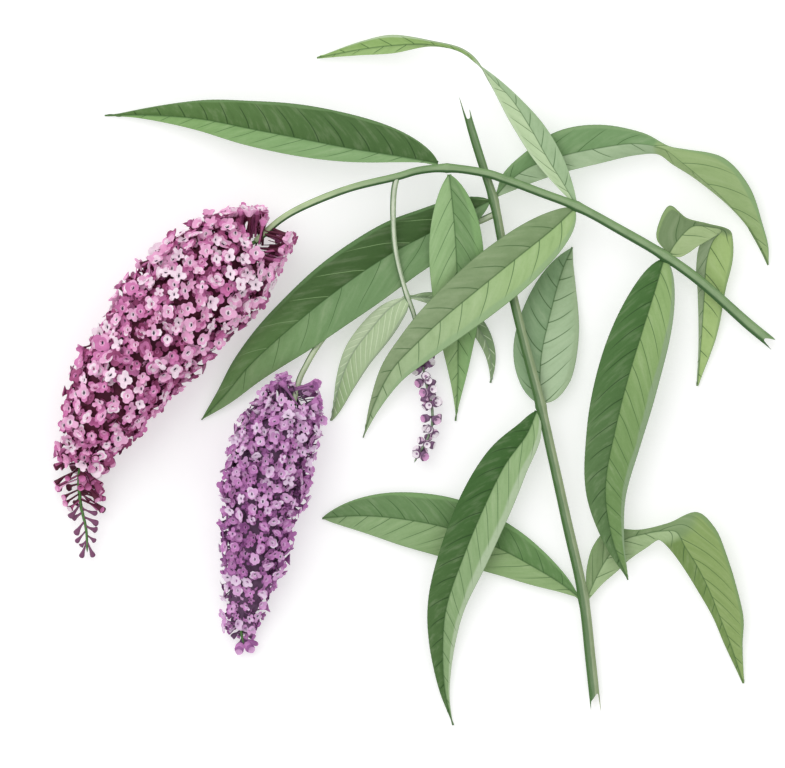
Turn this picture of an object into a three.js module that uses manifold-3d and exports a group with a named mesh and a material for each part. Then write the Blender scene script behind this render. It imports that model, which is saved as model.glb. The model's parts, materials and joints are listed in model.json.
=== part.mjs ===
// Cut sprigs of butterfly bush, lying flat: an upright stem with opposite leaves, an arching
// branch that ends in a drooping flower head, a side shoot with a young flower spike, and a
// second flower head on its own stalk.
// Millimetres, +Z up; the table is z = 0 and the origin is under the middle of the sprigs.
// A route is a list of [x, y, z] places that a stem, midrib or flower head passes through.

import * as THREE from 'three';
import { mergeVertices } from 'three/addons/utils/BufferGeometryUtils.js';
import Module from 'manifold-3d';

const wasm = await Module();
wasm.setup();

// ---- driving dimensions ----------------------------------------------------------------

const GAP = 0.35;                // air between two neighbouring solids
const CENTRE = [0.465, 0.216];           // middle of the sprigs in the coordinates of the routes
const FINEST = 0.05;             // detail smaller than this is smoothed away on flower heads
const GOLDEN_ANGLE = Math.PI * (3 - Math.sqrt(5));

const STEM_SIDES = 8;
const NODE_SWELL = 0.16;         // share by which a stem thickens where leaves join it
const NODE_REACH = 4;            // half length of that swelling

const LEAF_STATIONS = 12;        // cross-sections along a whole leaf
const LEAF_SLENDERNESS = 92;     // leaf length over thickness at the midrib
const LEAF_EDGE = 0.72;          // edge thickness as a share of the midrib's
const PETIOLE = 1.0;             // half width of a leaf where it leaves the stem
const TIP = 0.3;                 // half width at a leaf's point

const HEAD_SQUASH = 0.86;        // height of a flower head over its width
const CORE_SHARE = 0.8;          // radius of a head's solid middle over its outline
const SHOULDER_FLORETS = 10;     // florets that stand back round the stalk
const SHOULDER_OPEN = 0.9;       // radians left open above and below the stalk

// ---- stems: route, then radius at the start and at the end --------------------------------

const STEMS = {
  upright_stem: {
    route: [[92, -163.5, 2.8], [89.5, -139.5, 3.4], [85.8, -108, 6], [77.3, -69.5, 9],
      [70.6, -39.5, 10.8], [64.5, -12.5, 12], [55.8, 20.5, 13.2], [47.6, 55.5, 14.2],
      [40.8, 90.5, 15], [36.4, 104.5, 15.2], [30.6, 123, 15.3], [25.2, 142.5, 15.3]],
    radius: [2.7, 1.75], nodes: [[84, -108], [64.5, -12.5], [41.5, 90.5]],
    slant: [1.6, 0, 0],
  },
  arching_branch_right: {
    route: [[179.5, 19.5, 5.2], [169, 28, 7.2], [144, 50, 11.8], [126.5, 62.5, 13.8],
      [104.4, 75.4, 16], [82.3, 87.2, 18], [64, 94.2, 19], [44, 101.6, 20.2], [37, 103.7, 20.6],
      [17.8, 106.3, 21.6]],
    radius: [2.9, 2.35], nodes: [[126.5, 62.5], [82, 87]],
    slant: [0, 0.5, 0], slantAtStart: true,
  },
  arching_branch_left: {
    route: [[16.9, 106.3, 21.6], [3, 105, 22.2], [-7.5, 102, 23], [-31, 96.2, 24],
      [-56, 86.2, 24], [-66, 80.2, 23.7], [-78, 69.6, 23.4]],
    radius: [2.35, 2.1], nodes: [],
  },
  side_shoot: {
    route: [[-7.5, 101.2, 22.8], [-9, 95.5, 21.8], [-9.5, 88.5, 20.8], [-9.5, 80.5, 19.8],
      [-9, 70.5, 18.8], [-7.5, 60.5, 17.8], [-5, 50.5, 16.3], [-2.5, 42.5, 14.8],
      [0.5, 34.5, 12.4], [3, 24.5, 9.8], [4.5, 15.5, 8.3]],
    radius: [1.5, 1.1], nodes: [[-2.5, 42.5]],
  },
  purple_flower_stalk: {
    route: [[40, 83, 12], [36, 81, 10.5], [29, 78, 8.4], [9, 67.5, 6], [-11, 54.5, 6],
      [-31, 36.5, 8], [-42.5, 24, 10.6], [-48.6, 15.5, 14], [-52.8, 8, 17], [-56.2, 1, 18.8],
      [-59.2, -10.5, 20]],
    radius: [1.5, 1.35], nodes: [],
  },
};

// ---- plain leaves ----------------------------------------------------------------------
// route: the midrib from the stem to the point. left and right, looking from the stem to the
// point: half width, where along the leaf it is widest, how sharply it narrows to the point,
// and how far that edge is raised above the midrib.

const LEAVES = {
  branch_leaf_left: {
    route: [[13, 108.5, 22], [-6, 112, 24], [-31, 116, 24.5], [-56, 121, 22.5], [-81, 126, 18],
      [-106, 131, 11.5], [-131, 133, 5.5], [-154, 133, 2.2]],
    left: [9, 0.46, 1.6, 1.5], right: [17.2, 0.34, 1.3, 2.5],
  },
  branch_leaf_down: {
    route: [[18.5, 103.1, 20.6], [20, 90.5, 20.2], [21.5, 73, 18.6], [22.5, 55.5, 15.4],
      [23, 38, 11.2], [23, 18, 6.8], [23, 0.5, 4.2], [22, -20, 2.2]],
    left: [13.8, 0.34, 1.4, 1], right: [13.7, 0.36, 1.4, 0.5],
  },
  branch_leaf_crossing: {
    route: [[81, 86, 18], [71, 76.5, 20.4], [52.5, 61.5, 21.2], [34, 46.5, 20], [16.5, 32, 18.2],
      [1.5, 18, 15.5], [-10, 5.5, 11.5], [-19, -12, 6], [-24.5, -28.5, 2.2]],
    left: [14.6, 0.34, 1.1, 1], right: [13.3, 0.32, 1.3, 1],
  },
  branch_leaf_long: {
    route: [[126, 61, 13.5], [121.5, 45.5, 16], [114.5, 23, 17.5], [107, -2, 17], [101, -27, 15.5],
      [97, -48.5, 14.2], [97, -62, 13.5], [101, -82, 12.6], [108, -99.5, 11.5]],
    left: [15.5, 0.38, 0.9, 1], right: [15.9, 0.36, 1.1, 1.5],
  },
  stem_leaf_top_left: {
    route: [[39, 90, 14.8], [24, 82.5, 14], [8, 73.5, 13.2], [-9, 64.5, 14], [-31, 50, 16],
      [-56, 30.5, 16.5], [-81, 8, 10], [-93.5, -7, 5.4], [-105.5, -19.5, 2.4]],
    left: [17.3, 0.42, 1, 0.6], right: [15.6, 0.39, 0.95, 0.6],
  },
  stem_leaf_middle_left: {
    route: [[62.5, -15, 12], [57.5, -26.5, 13.2], [46.5, -42, 13.8], [35, -65.5, 13],
      [25.5, -88.5, 11.5], [17.5, -112, 9], [15.5, -129.5, 6.2], [16.5, -154.5, 3.2],
      [20.5, -172.5, 2.2]],
    left: [13.1, 0.34, 1.3, 1.5], right: [13.1, 0.36, 1.2, 1],
  },
  stem_leaf_middle_right: {
    route: [[64.5, -11.5, 8.8], [64, 0.5, 6.8], [65, 14.5, 5.4], [68.5, 30.5, 4.3], [73, 48, 3.6],
      [76.5, 58.5, 3.2], [80.5, 67, 2.8]],
    left: [14.8, 0.42, 0.9, 0.8], right: [17.6, 0.32, 1, 0.8],
  },
  stem_leaf_bottom_left: {
    route: [[84, -108.5, 5.8], [74, -101, 5.2], [59, -92, 4.6], [44, -84, 4.2], [19, -74, 4.2],
      [-6, -69, 4], [-26, -67.5, 3], [-45, -68.7, 2]],
    left: [14.9, 0.52, 0.9, 0.5], right: [15.2, 0.54, 0.8, 0.5],
  },
  side_leaf_left: {
    route: [[-3, 42, 14.6], [-11.5, 36, 13.3], [-20.4, 26, 11], [-29.5, 14, 7.8], [-35.5, 0.5, 4.8],
      [-38.5, -10.5, 3], [-40.5, -20, 1.6]],
    left: [10.7, 0.36, 0.7, 0.4], right: [5.4, 0.36, 1.7, 0.4],
  },
  side_leaf_right: {
    route: [[-1.5, 42, 14.4], [9, 41.5, 8.5], [20, 38, 5.5], [29, 31.5, 4], [35, 24, 3.4],
      [39, 14.5, 3], [40, 6.5, 2.4], [39.5, -1, 1.6]],
    left: [4.5, 0.45, 1, 0.3], right: [4.5, 0.45, 1, 0.3],
  },
};

// ---- folded leaves ---------------------------------------------------------------------
// These turn over on themselves, so each has its midrib and both edges as routes with the
// same number of places, and is split in two solids after the place numbered fold.

const FOLDED_LEAVES = {
  branch_leaf_top: {
    midrib: [[81.5, 88.5, 18.2], [75, 99.5, 19.5], [68, 110.5, 20.6], [59, 126.5, 21.5],
      [49.5, 141, 22], [40.5, 150.5, 22], [32.5, 159, 21.5], [24, 165, 20], [9, 168.5, 17],
      [-8.5, 168, 12], [-26, 166, 6.5], [-47.5, 162, 2]],
    left: [[80.5, 88.5, 18.2], [70, 99.5, 18.8], [60, 111.5, 19.6], [50.5, 126.5, 20.2],
      [43.5, 139.5, 21.5], [38.5, 149.5, 24], [32.5, 160, 26.5], [25, 166, 23.5], [10, 170, 19],
      [-10, 173, 13.5], [-25.5, 170, 8], [-47.5, 162.2, 2]],
    right: [[82.5, 88.5, 18.2], [80.5, 97.5, 19.2], [75.5, 111.5, 19.8], [65.5, 128.5, 20],
      [54, 141, 20], [43, 151, 18.5], [32.4, 159, 16.5], [24, 165, 16], [9.5, 167.6, 14.5],
      [-9, 164, 11], [-27, 163, 6], [-47.5, 161.6, 2]],
    fold: 6,
  },
  branch_leaf_right: {
    midrib: [[128.5, 63.5, 14.5], [131, 70, 16], [135, 75.5, 17.5], [139.5, 79.5, 19.5],
      [145, 77.5, 20], [148, 73.5, 19], [147.6, 67.5, 14.5], [147, 58.5, 8.5], [146.5, 45.5, 4.6],
      [145, 23, 3.2], [143, -2.5, 2]],
    left: [[127.8, 64, 14.5], [122, 73, 18], [124.3, 85, 21], [129.5, 87, 22],
      [141, 80.5, 21.5], [154.5, 77, 20], [159.4, 71.5, 16.5], [160, 61.5, 11], [157.2, 46.5, 5.6],
      [152.8, 23.5, 4], [143.3, -2.5, 2]],
    right: [[129.4, 62.8, 14.5], [133.5, 61.8, 15], [136.5, 63, 15.6], [138.4, 65.6, 16.4],
      [140.6, 67.4, 17], [142.6, 65.6, 15], [142.6, 61.5, 11.4], [142.2, 54.5, 6.6], [143, 44.5, 4],
      [143.5, 21.5, 2.8], [142.7, -2.5, 2]],
    fold: 4, slack: 2.05,
  },
  stem_leaf_top_right: {
    midrib: [[42.5, 93, 14.4], [49, 100, 13.5], [59, 107, 13.5], [75, 112.5, 14.2],
      [94, 116.5, 15], [111.5, 118.5, 16], [124.5, 115.5, 16.5], [133, 110.5, 16],
      [144, 101.5, 13], [155, 91.5, 10], [167, 78.5, 6], [174, 67, 3.5], [178.5, 58, 2]],
    left: [[42, 93.8, 14.4], [45.5, 103.5, 14], [55, 113, 14.6], [72, 124.5, 15.8],
      [93, 128, 17], [114, 124.5, 15], [126, 118, 12.5], [136, 116, 12], [156, 111.5, 11],
      [169, 97, 9], [175.5, 78.5, 6], [178.5, 67, 3.6], [178.6, 58, 2]],
    right: [[43, 92.2, 14.4], [50, 95, 13.8], [60, 99, 14], [76.5, 104.5, 14.8],
      [95, 109, 13.5], [113, 113, 12], [123, 113.5, 10], [130.5, 108, 10], [142.5, 100.5, 7],
      [154.8, 91, 5], [166.7, 78.7, 3.4], [173.8, 67.2, 2.6], [178.3, 58, 2]],
    fold: 6,
  },
  stem_leaf_bottom_right: {
    midrib: [[88, -108, 6.5], [92, -99, 6], [97.5, -89, 6], [105.5, -80, 6.5],
      [116.5, -76.5, 9.5], [126, -75, 13], [132, -75.5, 14.5], [136.5, -83, 13],
      [142.5, -92.5, 10.5], [149, -105.5, 7.5], [154, -118, 5], [159.5, -132, 3],
      [166, -151.5, 2]],
    left: [[87.2, -107, 6.5], [87.5, -93.5, 7], [91, -82, 7], [98, -74.5, 7.5],
      [114, -74.5, 10], [128, -71, 14], [142.5, -65.5, 15], [151.5, -73.5, 14],
      [157.5, -87.5, 12], [163, -105.5, 9], [166, -119.5, 6], [165.5, -132, 4],
      [166.3, -151.5, 2]],
    right: [[88.8, -109, 6.5], [95.5, -101.5, 5.5], [103, -95, 5], [109.5, -89, 5],
      [118, -83, 8], [123, -79.5, 11.5], [124.5, -80, 12], [129, -84.5, 10.5],
      [136.5, -94.5, 8], [144, -106.5, 5], [151, -119, 3], [156.5, -132, 2.4],
      [165.7, -151.5, 2]],
    fold: 6, slack: 0.75,
  },
};

// ---- flower heads ----------------------------------------------------------------------
// radii: outline radius at even steps along the route, from the stalk to the tip of buds.

const HEADS = {
  pink_flower_head: {
    route: [[-75.5, 71.5, 23.4], [-99.5, 54.5, 25], [-126, 24.5, 25.6], [-152.5, -12, 22.5],
      [-165.5, -42, 14.5], [-166, -59.5, 10.5], [-163, -74.5, 8.5], [-162.5, -86, 7.5]],
    radii: [21, 27, 28.5, 28.5, 28, 25.5, 22, 17, 12.5, 9, 5],
    florets: 92, shoulder: 11, face: 6.2, seed: 11,
  },
  purple_flower_head: {
    route: [[-57.5, -9, 18.5], [-63.5, -22, 19.6], [-70, -37, 20], [-73.5, -52, 19.4],
      [-76.5, -67, 17.6], [-80.5, -97, 13], [-84, -112, 9.8], [-85.5, -124.5, 7.5],
      [-84, -133, 6]],
    radii: [18, 21, 22.5, 22, 20.5, 19.5, 18, 16, 13, 10, 5],
    florets: 58, shoulder: 8, face: 6, seed: 23,
  },
};

const SPIKE = {
  route: [[4.6, 14.9, 8.2], [6, 4.5, 7.8], [8, -4.5, 7.6], [10, -13.5, 7.6], [10, -22, 7.6],
    [7.5, -29.5, 7.2], [4, -35.5, 6.8], [1, -41, 6.4]],
  radius: [1.15, 0.6], florets: 18, reach: 6, face: 3.3, seed: 5,
};

// ---- colours ---------------------------------------------------------------------------

const COLOURS = {
  upright_stem: 0x6f8e5c, arching_branch_right: 0x7e9e6c, arching_branch_left: 0xa9c088,
  side_shoot: 0xa3b19a, purple_flower_stalk: 0xb4c09a,
  pink_flower_head: 0xd58bb5, purple_flower_head: 0xb273ae, young_flower_spike: 0xcf93c4,
  branch_leaf_left: 0x6b9159, branch_leaf_down: 0x7fa56b, branch_leaf_crossing: 0x94b57c,
  branch_leaf_long: 0x6b9a58, stem_leaf_top_left: 0x56793f, stem_leaf_middle_left: 0x648f4e,
  stem_leaf_middle_right: 0x8da981, stem_leaf_bottom_left: 0x7fa567, side_leaf_left: 0xa9c192,
  side_leaf_right: 0x7a9368, branch_leaf_top: 0xa9c592, branch_leaf_right: 0x98b46e,
  stem_leaf_top_right: 0x97b077, stem_leaf_bottom_right: 0x96b26d,
};
const LEAF_ROUGHNESS = 0.7;
const PETAL_ROUGHNESS = 0.85;

// ---- helpers ---------------------------------------------------------------------------

const vector = (place) => new THREE.Vector3(...place);
const curveThrough = (route) => new THREE.CatmullRomCurve3(route.map(vector), false, 'centripetal');
const lerp = THREE.MathUtils.lerp;

function seededRandom(seed) {
  let state = seed;
  return () => {
    state = (state * 16807) % 2147483647;
    return state / 2147483647;
  };
}

// Value at share t (0 to 1) of a list of evenly spaced values.
function valueAlong(values, t) {
  const place = THREE.MathUtils.clamp(t, 0, 1) * (values.length - 1);
  const index = Math.min(Math.floor(place), values.length - 2);
  return lerp(values[index], values[index + 1], place - index);
}

// Closed solid from rings of points, each ring in the same order, closed by a fan at each end.
function solidFromRings(rings) {
  const sides = rings[0].length;
  const vertices = rings.flat();
  const faces = [];
  for (let ring = 0; ring < rings.length - 1; ring += 1) {
    for (let side = 0; side < sides; side += 1) {
      const next = (side + 1) % sides;
      const [a, b] = [ring * sides + side, ring * sides + next];
      faces.push(a, b, b + sides, a, b + sides, a + sides);
    }
  }
  const last = (rings.length - 1) * sides;
  for (let side = 1; side < sides - 1; side += 1) {
    faces.push(0, side + 1, side, last, last + side, last + side + 1);
  }
  return solidFromFaces(vertices, faces);
}

function solidFromFaces(vertices, faces) {
  const solid = new wasm.Manifold(new wasm.Mesh({
    numProp: 3,
    vertProperties: new Float32Array(vertices.flatMap((v) => [v.x, v.y, v.z])),
    triVerts: new Uint32Array(faces),
  }));
  return solid;
}

function solidFromGeometry(geometry) {
  geometry.deleteAttribute('normal');
  geometry.deleteAttribute('uv');
  const merged = mergeVertices(geometry);
  return new wasm.Manifold(new wasm.Mesh({
    numProp: 3,
    vertProperties: new Float32Array(merged.attributes.position.array),
    triVerts: new Uint32Array(merged.index.array),
  }));
}

// What is left of a solid after cutting away its neighbours: the largest piece.
function cleared(solid, neighbours) {
  const rest = neighbours.reduce((body, neighbour) => body.subtract(neighbour), solid);
  return rest.decompose().reduce((a, b) => (b.volume() > a.volume() ? b : a));
}

// ---- stems -----------------------------------------------------------------------------

function stemRadius({ radius, nodes = [] }, point, t) {
  const nearness = nodes.map(([x, y]) => Math.hypot(point.x - x, point.y - y) / NODE_REACH);
  const swell = nearness.reduce((sum, d) => sum + Math.exp(-d * d), 0);
  return lerp(radius[0], radius[1], t) * (1 + NODE_SWELL * swell);
}

// Tapering limb along a route; extra thickens and lengthens it, for cutting clearances.
function stemSolid(stem, extra = 0) {
  const curve = curveThrough(stem.route);
  const count = Math.round(curve.getLength() / (curve.getLength() > 120 ? 9 : 7));
  const frames = curve.computeFrenetFrames(count, false);
  const rings = [];
  for (let i = 0; i <= count; i += 1) {
    const centre = curve.getPointAt(i / count);
    const radius = stemRadius(stem, centre, i / count) + extra;
    const beyond = { 0: -extra, [count]: extra }[i] ?? 0;
    centre.addScaledVector(frames.tangents[i], beyond);
    const ring = [];
    for (let side = 0; side < STEM_SIDES; side += 1) {
      const angle = (side / STEM_SIDES) * 2 * Math.PI;
      const offset = frames.normals[i].clone().multiplyScalar(radius * Math.cos(angle))
        .addScaledVector(frames.binormals[i], radius * Math.sin(angle));
      ring.push(centre.clone().add(offset));
    }
    rings.push(ring);
  }
  if (stem.slant) {
    const end = stem.slantAtStart ? 0 : count;
    const centre = curve.getPointAt(end / count);
    const slant = vector(stem.slant);
    rings[end].forEach((point) => {
      point.addScaledVector(frames.tangents[end], slant.dot(point.clone().sub(centre)));
    });
  }
  return solidFromRings(rings);
}

// ---- leaves ----------------------------------------------------------------------------

// Half width of a leaf at share u of its length.
function halfWidth([width, widest, sharpness], u) {
  const rise = (sharpness * widest) / (1 - widest);
  const shape = (u / widest) ** rise * ((1 - u) / (1 - widest)) ** sharpness;
  return Math.max(width * shape, lerp(PETIOLE, TIP, u));
}

// Cross-sections of a plain leaf: left edge, midrib and right edge, and the midrib's direction.
function leafStations({ route, left, right }) {
  const curve = curveThrough(route);
  return Array.from({ length: LEAF_STATIONS + 1 }, (_, i) => {
    const u = i / LEAF_STATIONS;
    const middle = curve.getPointAt(u);
    const along = curve.getTangentAt(u);
    const aside = new THREE.Vector3(-along.y, along.x, 0).normalize();
    const edge = (side, sign) => middle.clone()
      .addScaledVector(aside, sign * halfWidth(side, u))
      .add(new THREE.Vector3(0, 0, (side[3] * halfWidth(side, u)) / side[0]));
    return { places: [edge(left, 1), middle, edge(right, -1)], along };
  });
}

// Cross-sections of a folded leaf between two of its places.
function foldedStations({ midrib, left, right }, from, to) {
  const rails = [left, midrib, right].map(curveThrough);
  const steps = Math.round(to - from);
  return Array.from({ length: steps + 1 }, (_, i) => {
    const t = lerp(from, to, i / steps) / (midrib.length - 1);
    return { places: rails.map((rail) => rail.getPoint(t)), along: rails[1].getTangent(t) };
  });
}

// Leaf blade: the stations are its upper face, and it is thickest at the midrib.
function bladeSolid(stations, thickness) {
  const rings = stations.map(({ places, along }) => {
    const [left, middle, right] = places;
    const down = new THREE.Vector3().crossVectors(along, right.clone().sub(left)).normalize();
    const below = (point, depth) => point.clone().addScaledVector(down, depth);
    return [left, middle, right, below(right, thickness * LEAF_EDGE), below(middle, thickness),
      below(left, thickness * LEAF_EDGE)];
  });
  return solidFromRings(rings);
}

// Share of a step to leave open on each side of a fold, so that no edge is closer than the gap;
// slack widens or narrows it where a fold doubles back sharply.
function foldOpening({ midrib, left, right, fold, slack = 1 }) {
  const steps = [left, midrib, right].flatMap((rail) => [-1, 1].map((way) => (
    vector(rail[fold]).distanceTo(vector(rail[fold + way])))));
  return (slack * GAP) / Math.min(...steps);
}

const lengthOf = (route) => curveThrough(route).getLength();

function leafSolids(name, leaf) {
  const thickness = lengthOf(leaf.route ?? leaf.midrib) / LEAF_SLENDERNESS;
  if (leaf.route) {
    return { [name]: bladeSolid(leafStations(leaf), thickness) };
  }
  const open = foldOpening(leaf);
  const end = leaf.midrib.length - 1;
  return {
    [`${name}_inner`]: bladeSolid(foldedStations(leaf, 0, leaf.fold - open), thickness),
    [`${name}_outer`]: bladeSolid(foldedStations(leaf, leaf.fold + open, end), thickness),
  };
}

// ---- flowers ---------------------------------------------------------------------------

// One floret: a four-lobed face on a funnel that narrows to its foot.
function floretSolid(face, foot, size, turn) {
  const lobes = 4;
  const axis = face.clone().sub(foot).normalize();
  const helper = Math.abs(axis.z) > 0.9 ? new THREE.Vector3(1, 0, 0) : new THREE.Vector3(0, 0, 1);
  const u = new THREE.Vector3().crossVectors(axis, helper).normalize();
  const v = new THREE.Vector3().crossVectors(axis, u);
  const rim = Array.from({ length: lobes * 2 }, (_, i) => {
    const angle = turn + (i * Math.PI) / lobes;
    const reach = size * (i % 2 ? 0.66 : 1);
    return face.clone().addScaledVector(u, reach * Math.cos(angle))
      .addScaledVector(v, reach * Math.sin(angle));
  });
  const throat = face.clone().addScaledVector(axis, -size * 0.15);
  const faces = rim.flatMap((_, i) => {
    const next = (i + 1) % rim.length;
    return [i, next, rim.length, next, i, rim.length + 1];
  });
  return solidFromFaces([...rim, throat, foot], faces);
}

// Ring of points round a head's axis: wide across, a little squashed from above.
function headFrame(curve, t) {
  const centre = curve.getPointAt(t);
  const along = curve.getTangentAt(t);
  const aside = new THREE.Vector3(-along.y, along.x, 0).normalize();
  const above = new THREE.Vector3().crossVectors(along, aside);
  return { centre, along, aside, above };
}

function aroundHead({ centre, aside, above }, radius, angle) {
  return centre.clone().addScaledVector(aside, radius * Math.cos(angle))
    .addScaledVector(above, radius * HEAD_SQUASH * Math.sin(angle));
}

function coreSolid(curve, radii) {
  const steps = 16;
  const sides = 12;
  const rings = Array.from({ length: steps + 1 }, (_, i) => {
    const t = i / steps;
    const frame = headFrame(curve, t);
    const radius = valueAlong(radii, t) * CORE_SHARE * (i === 0 || i === steps ? 0.6 : 1);
    return Array.from({ length: sides }, (_, side) => (
      aroundHead(frame, radius, (side / sides) * 2 * Math.PI)));
  });
  return solidFromRings(rings);
}

// Places along a head, as shares of its route, that spread florets evenly over its surface.
function evenShares(radii, count) {
  const areas = [0];
  radii.slice(1).forEach((radius, i) => areas.push(areas[i] + radius + radii[i]));
  return Array.from({ length: count }, (_, i) => {
    const area = (areas[areas.length - 1] * (i + 0.5)) / count;
    const step = areas.findIndex((value) => value > area) - 1;
    return (step + (area - areas[step]) / (areas[step + 1] - areas[step])) / (radii.length - 1);
  });
}

// Flower head: florets all over its surface and standing back round the stalk, all fused
// with the middle.
function headSolid({ route, radii, florets, shoulder, face, seed }) {
  const curve = curveThrough(route);
  const random = seededRandom(seed);
  let body = coreSolid(curve, radii);
  evenShares(radii, florets).forEach((t, i) => {
    const frame = headFrame(curve, t);
    const angle = i * GOLDEN_ANGLE + random() * 0.3;
    const size = face * (0.85 + 0.3 * random()) * (t > 0.75 ? 0.7 : 1);
    const place = aroundHead(frame, valueAlong(radii, t) - 0.8 + 1.4 * random(), angle)
      .addScaledVector(frame.along, lerp(-2, 2.5, t));
    const foot = aroundHead(frame, valueAlong(radii, t) * CORE_SHARE * 0.7, angle);
    body = body.add(floretSolid(place, foot, size, random() * Math.PI));
  });
  const start = headFrame(curve, 0);
  const within = headFrame(curve, 0.05);
  for (let i = 0; i < SHOULDER_FLORETS; i += 1) {
    const half = SHOULDER_FLORETS / 2;
    const spread = ((i % half) / (half - 1) - 0.5) * (Math.PI - 2 * SHOULDER_OPEN);
    const angle = spread + (i < half ? 0 : Math.PI);
    const back = shoulder * (0.45 + 0.4 * random());
    const place = aroundHead(start, radii[0] * (0.62 + 0.2 * random()), angle)
      .addScaledVector(start.along, -back);
    const foot = aroundHead(within, radii[0] * CORE_SHARE * 0.6, angle);
    body = body.add(floretSolid(place, foot, face * 0.9, random() * Math.PI));
  }
  return body;
}

function spikeSolid({ route, radius, florets, reach, face, seed }) {
  const random = seededRandom(seed);
  const curve = curveThrough(route);
  let body = stemSolid({ route, radius });
  for (let i = 0; i < florets; i += 1) {
    const t = 0.06 + (0.94 * i) / (florets - 1);
    const frame = headFrame(curve, Math.min(t, 1));
    const out = reach * (1 - 0.3 * t) * (0.85 + 0.3 * random());
    const place = aroundHead(frame, out, i * GOLDEN_ANGLE + 0.6);
    body = body.add(floretSolid(place, frame.centre, face * (1 - 0.25 * t), random() * Math.PI));
  }
  return body;
}

// ---- assembly --------------------------------------------------------------------------

function build() {
  const stemNames = Object.keys(STEMS);
  const wide = Object.fromEntries(stemNames.map((name) => [name, stemSolid(STEMS[name], GAP)]));
  const table = solidFromGeometry(new THREE.BoxGeometry(600, 600, 100).translate(0, 0, -50));

  const solids = {};
  solids.upright_stem = stemSolid(STEMS.upright_stem);
  solids.arching_branch_right = stemSolid(STEMS.arching_branch_right);
  solids.arching_branch_left = stemSolid(STEMS.arching_branch_left);
  solids.side_shoot = cleared(stemSolid(STEMS.side_shoot), [wide.arching_branch_left]);
  solids.purple_flower_stalk = cleared(stemSolid(STEMS.purple_flower_stalk), [wide.upright_stem]);

  for (const [name, leaf] of Object.entries({ ...LEAVES, ...FOLDED_LEAVES })) {
    for (const [part, solid] of Object.entries(leafSolids(name, leaf))) {
      solids[part] = cleared(solid, stemNames.map((stem) => wide[stem]));
    }
  }
  for (const [name, head] of Object.entries(HEADS)) {
    const stalk = name === 'pink_flower_head' ? 'arching_branch_left' : 'purple_flower_stalk';
    solids[name] = cleared(headSolid(head), [wide[stalk], table]).simplify(FINEST);
  }
  solids.young_flower_spike = cleared(spikeSolid(SPIKE), [wide.side_shoot, table])
    .simplify(FINEST);
  return solids;
}

function toMesh(name, solid) {
  const mesh = solid.getMesh();
  const geometry = new THREE.BufferGeometry();
  geometry.setAttribute('position', new THREE.BufferAttribute(mesh.vertProperties, 3));
  geometry.setIndex(new THREE.BufferAttribute(mesh.triVerts, 1));
  const colourName = name.replace(/_(inner|outer)$/, '');
  const flower = /flower_(head|spike)/.test(name);
  const material = new THREE.MeshStandardMaterial({
    color: COLOURS[colourName],
    roughness: flower ? PETAL_ROUGHNESS : LEAF_ROUGHNESS,
    metalness: 0,
  });
  const result = new THREE.Mesh(geometry, material);
  result.name = name;
  return result;
}

const sprigs = new THREE.Group();
for (const [name, solid] of Object.entries(build())) {
  sprigs.add(toMesh(name, solid));
}
sprigs.position.set(-CENTRE[0], -CENTRE[1], 0);

export default sprigs;
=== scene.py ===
"""Looks of the cut butterfly bush sprigs: stems with bark, veined leaves and open florets.

Routes and sizes in tables are in millimetres, in the coordinates of the solids' source.
to_part() turns them into metres in the part's own frame: +Z up, the table at z = 0.
"""

import json
import math

import bpy
import numpy as np
from bpy.props import FloatProperty, FloatVectorProperty, PointerProperty
from bpy.types import Operator, Panel, PropertyGroup
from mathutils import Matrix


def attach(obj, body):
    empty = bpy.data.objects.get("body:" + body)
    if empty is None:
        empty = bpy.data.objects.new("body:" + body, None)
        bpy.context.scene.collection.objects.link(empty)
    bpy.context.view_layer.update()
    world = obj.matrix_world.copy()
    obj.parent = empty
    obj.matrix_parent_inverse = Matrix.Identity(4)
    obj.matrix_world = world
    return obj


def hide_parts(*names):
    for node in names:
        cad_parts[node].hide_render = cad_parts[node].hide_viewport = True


bl_info = {
    "name": "Butterfly Bush Sprigs",
    "version": (1, 0, 0),
    "blender": (4, 5, 0),
    "location": "View3D > Sidebar > Sprigs",
    "description": "Builds cut flowering sprigs of butterfly bush over their solids",
    "category": "Add Mesh",
}

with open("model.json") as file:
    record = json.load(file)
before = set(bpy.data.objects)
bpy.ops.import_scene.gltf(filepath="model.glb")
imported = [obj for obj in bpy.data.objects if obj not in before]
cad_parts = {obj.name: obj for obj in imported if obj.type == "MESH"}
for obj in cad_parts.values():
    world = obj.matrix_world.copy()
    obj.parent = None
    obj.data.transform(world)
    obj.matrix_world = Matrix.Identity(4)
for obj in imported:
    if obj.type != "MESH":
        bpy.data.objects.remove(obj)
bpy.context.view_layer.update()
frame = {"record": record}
SLOTS = {part["node"]: part["material_slot"] for part in frame["record"]["subparts"]}

# ---- the plant's layout ----------------------------------------------------------------

CENTRE = np.array([0.465, 0.216, 0.0])      # middle of the sprigs, in the routes' coordinates
GOLDEN_ANGLE = math.pi * (3 - math.sqrt(5))
UP = np.array([0.0, 0.0, 1.0])

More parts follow.
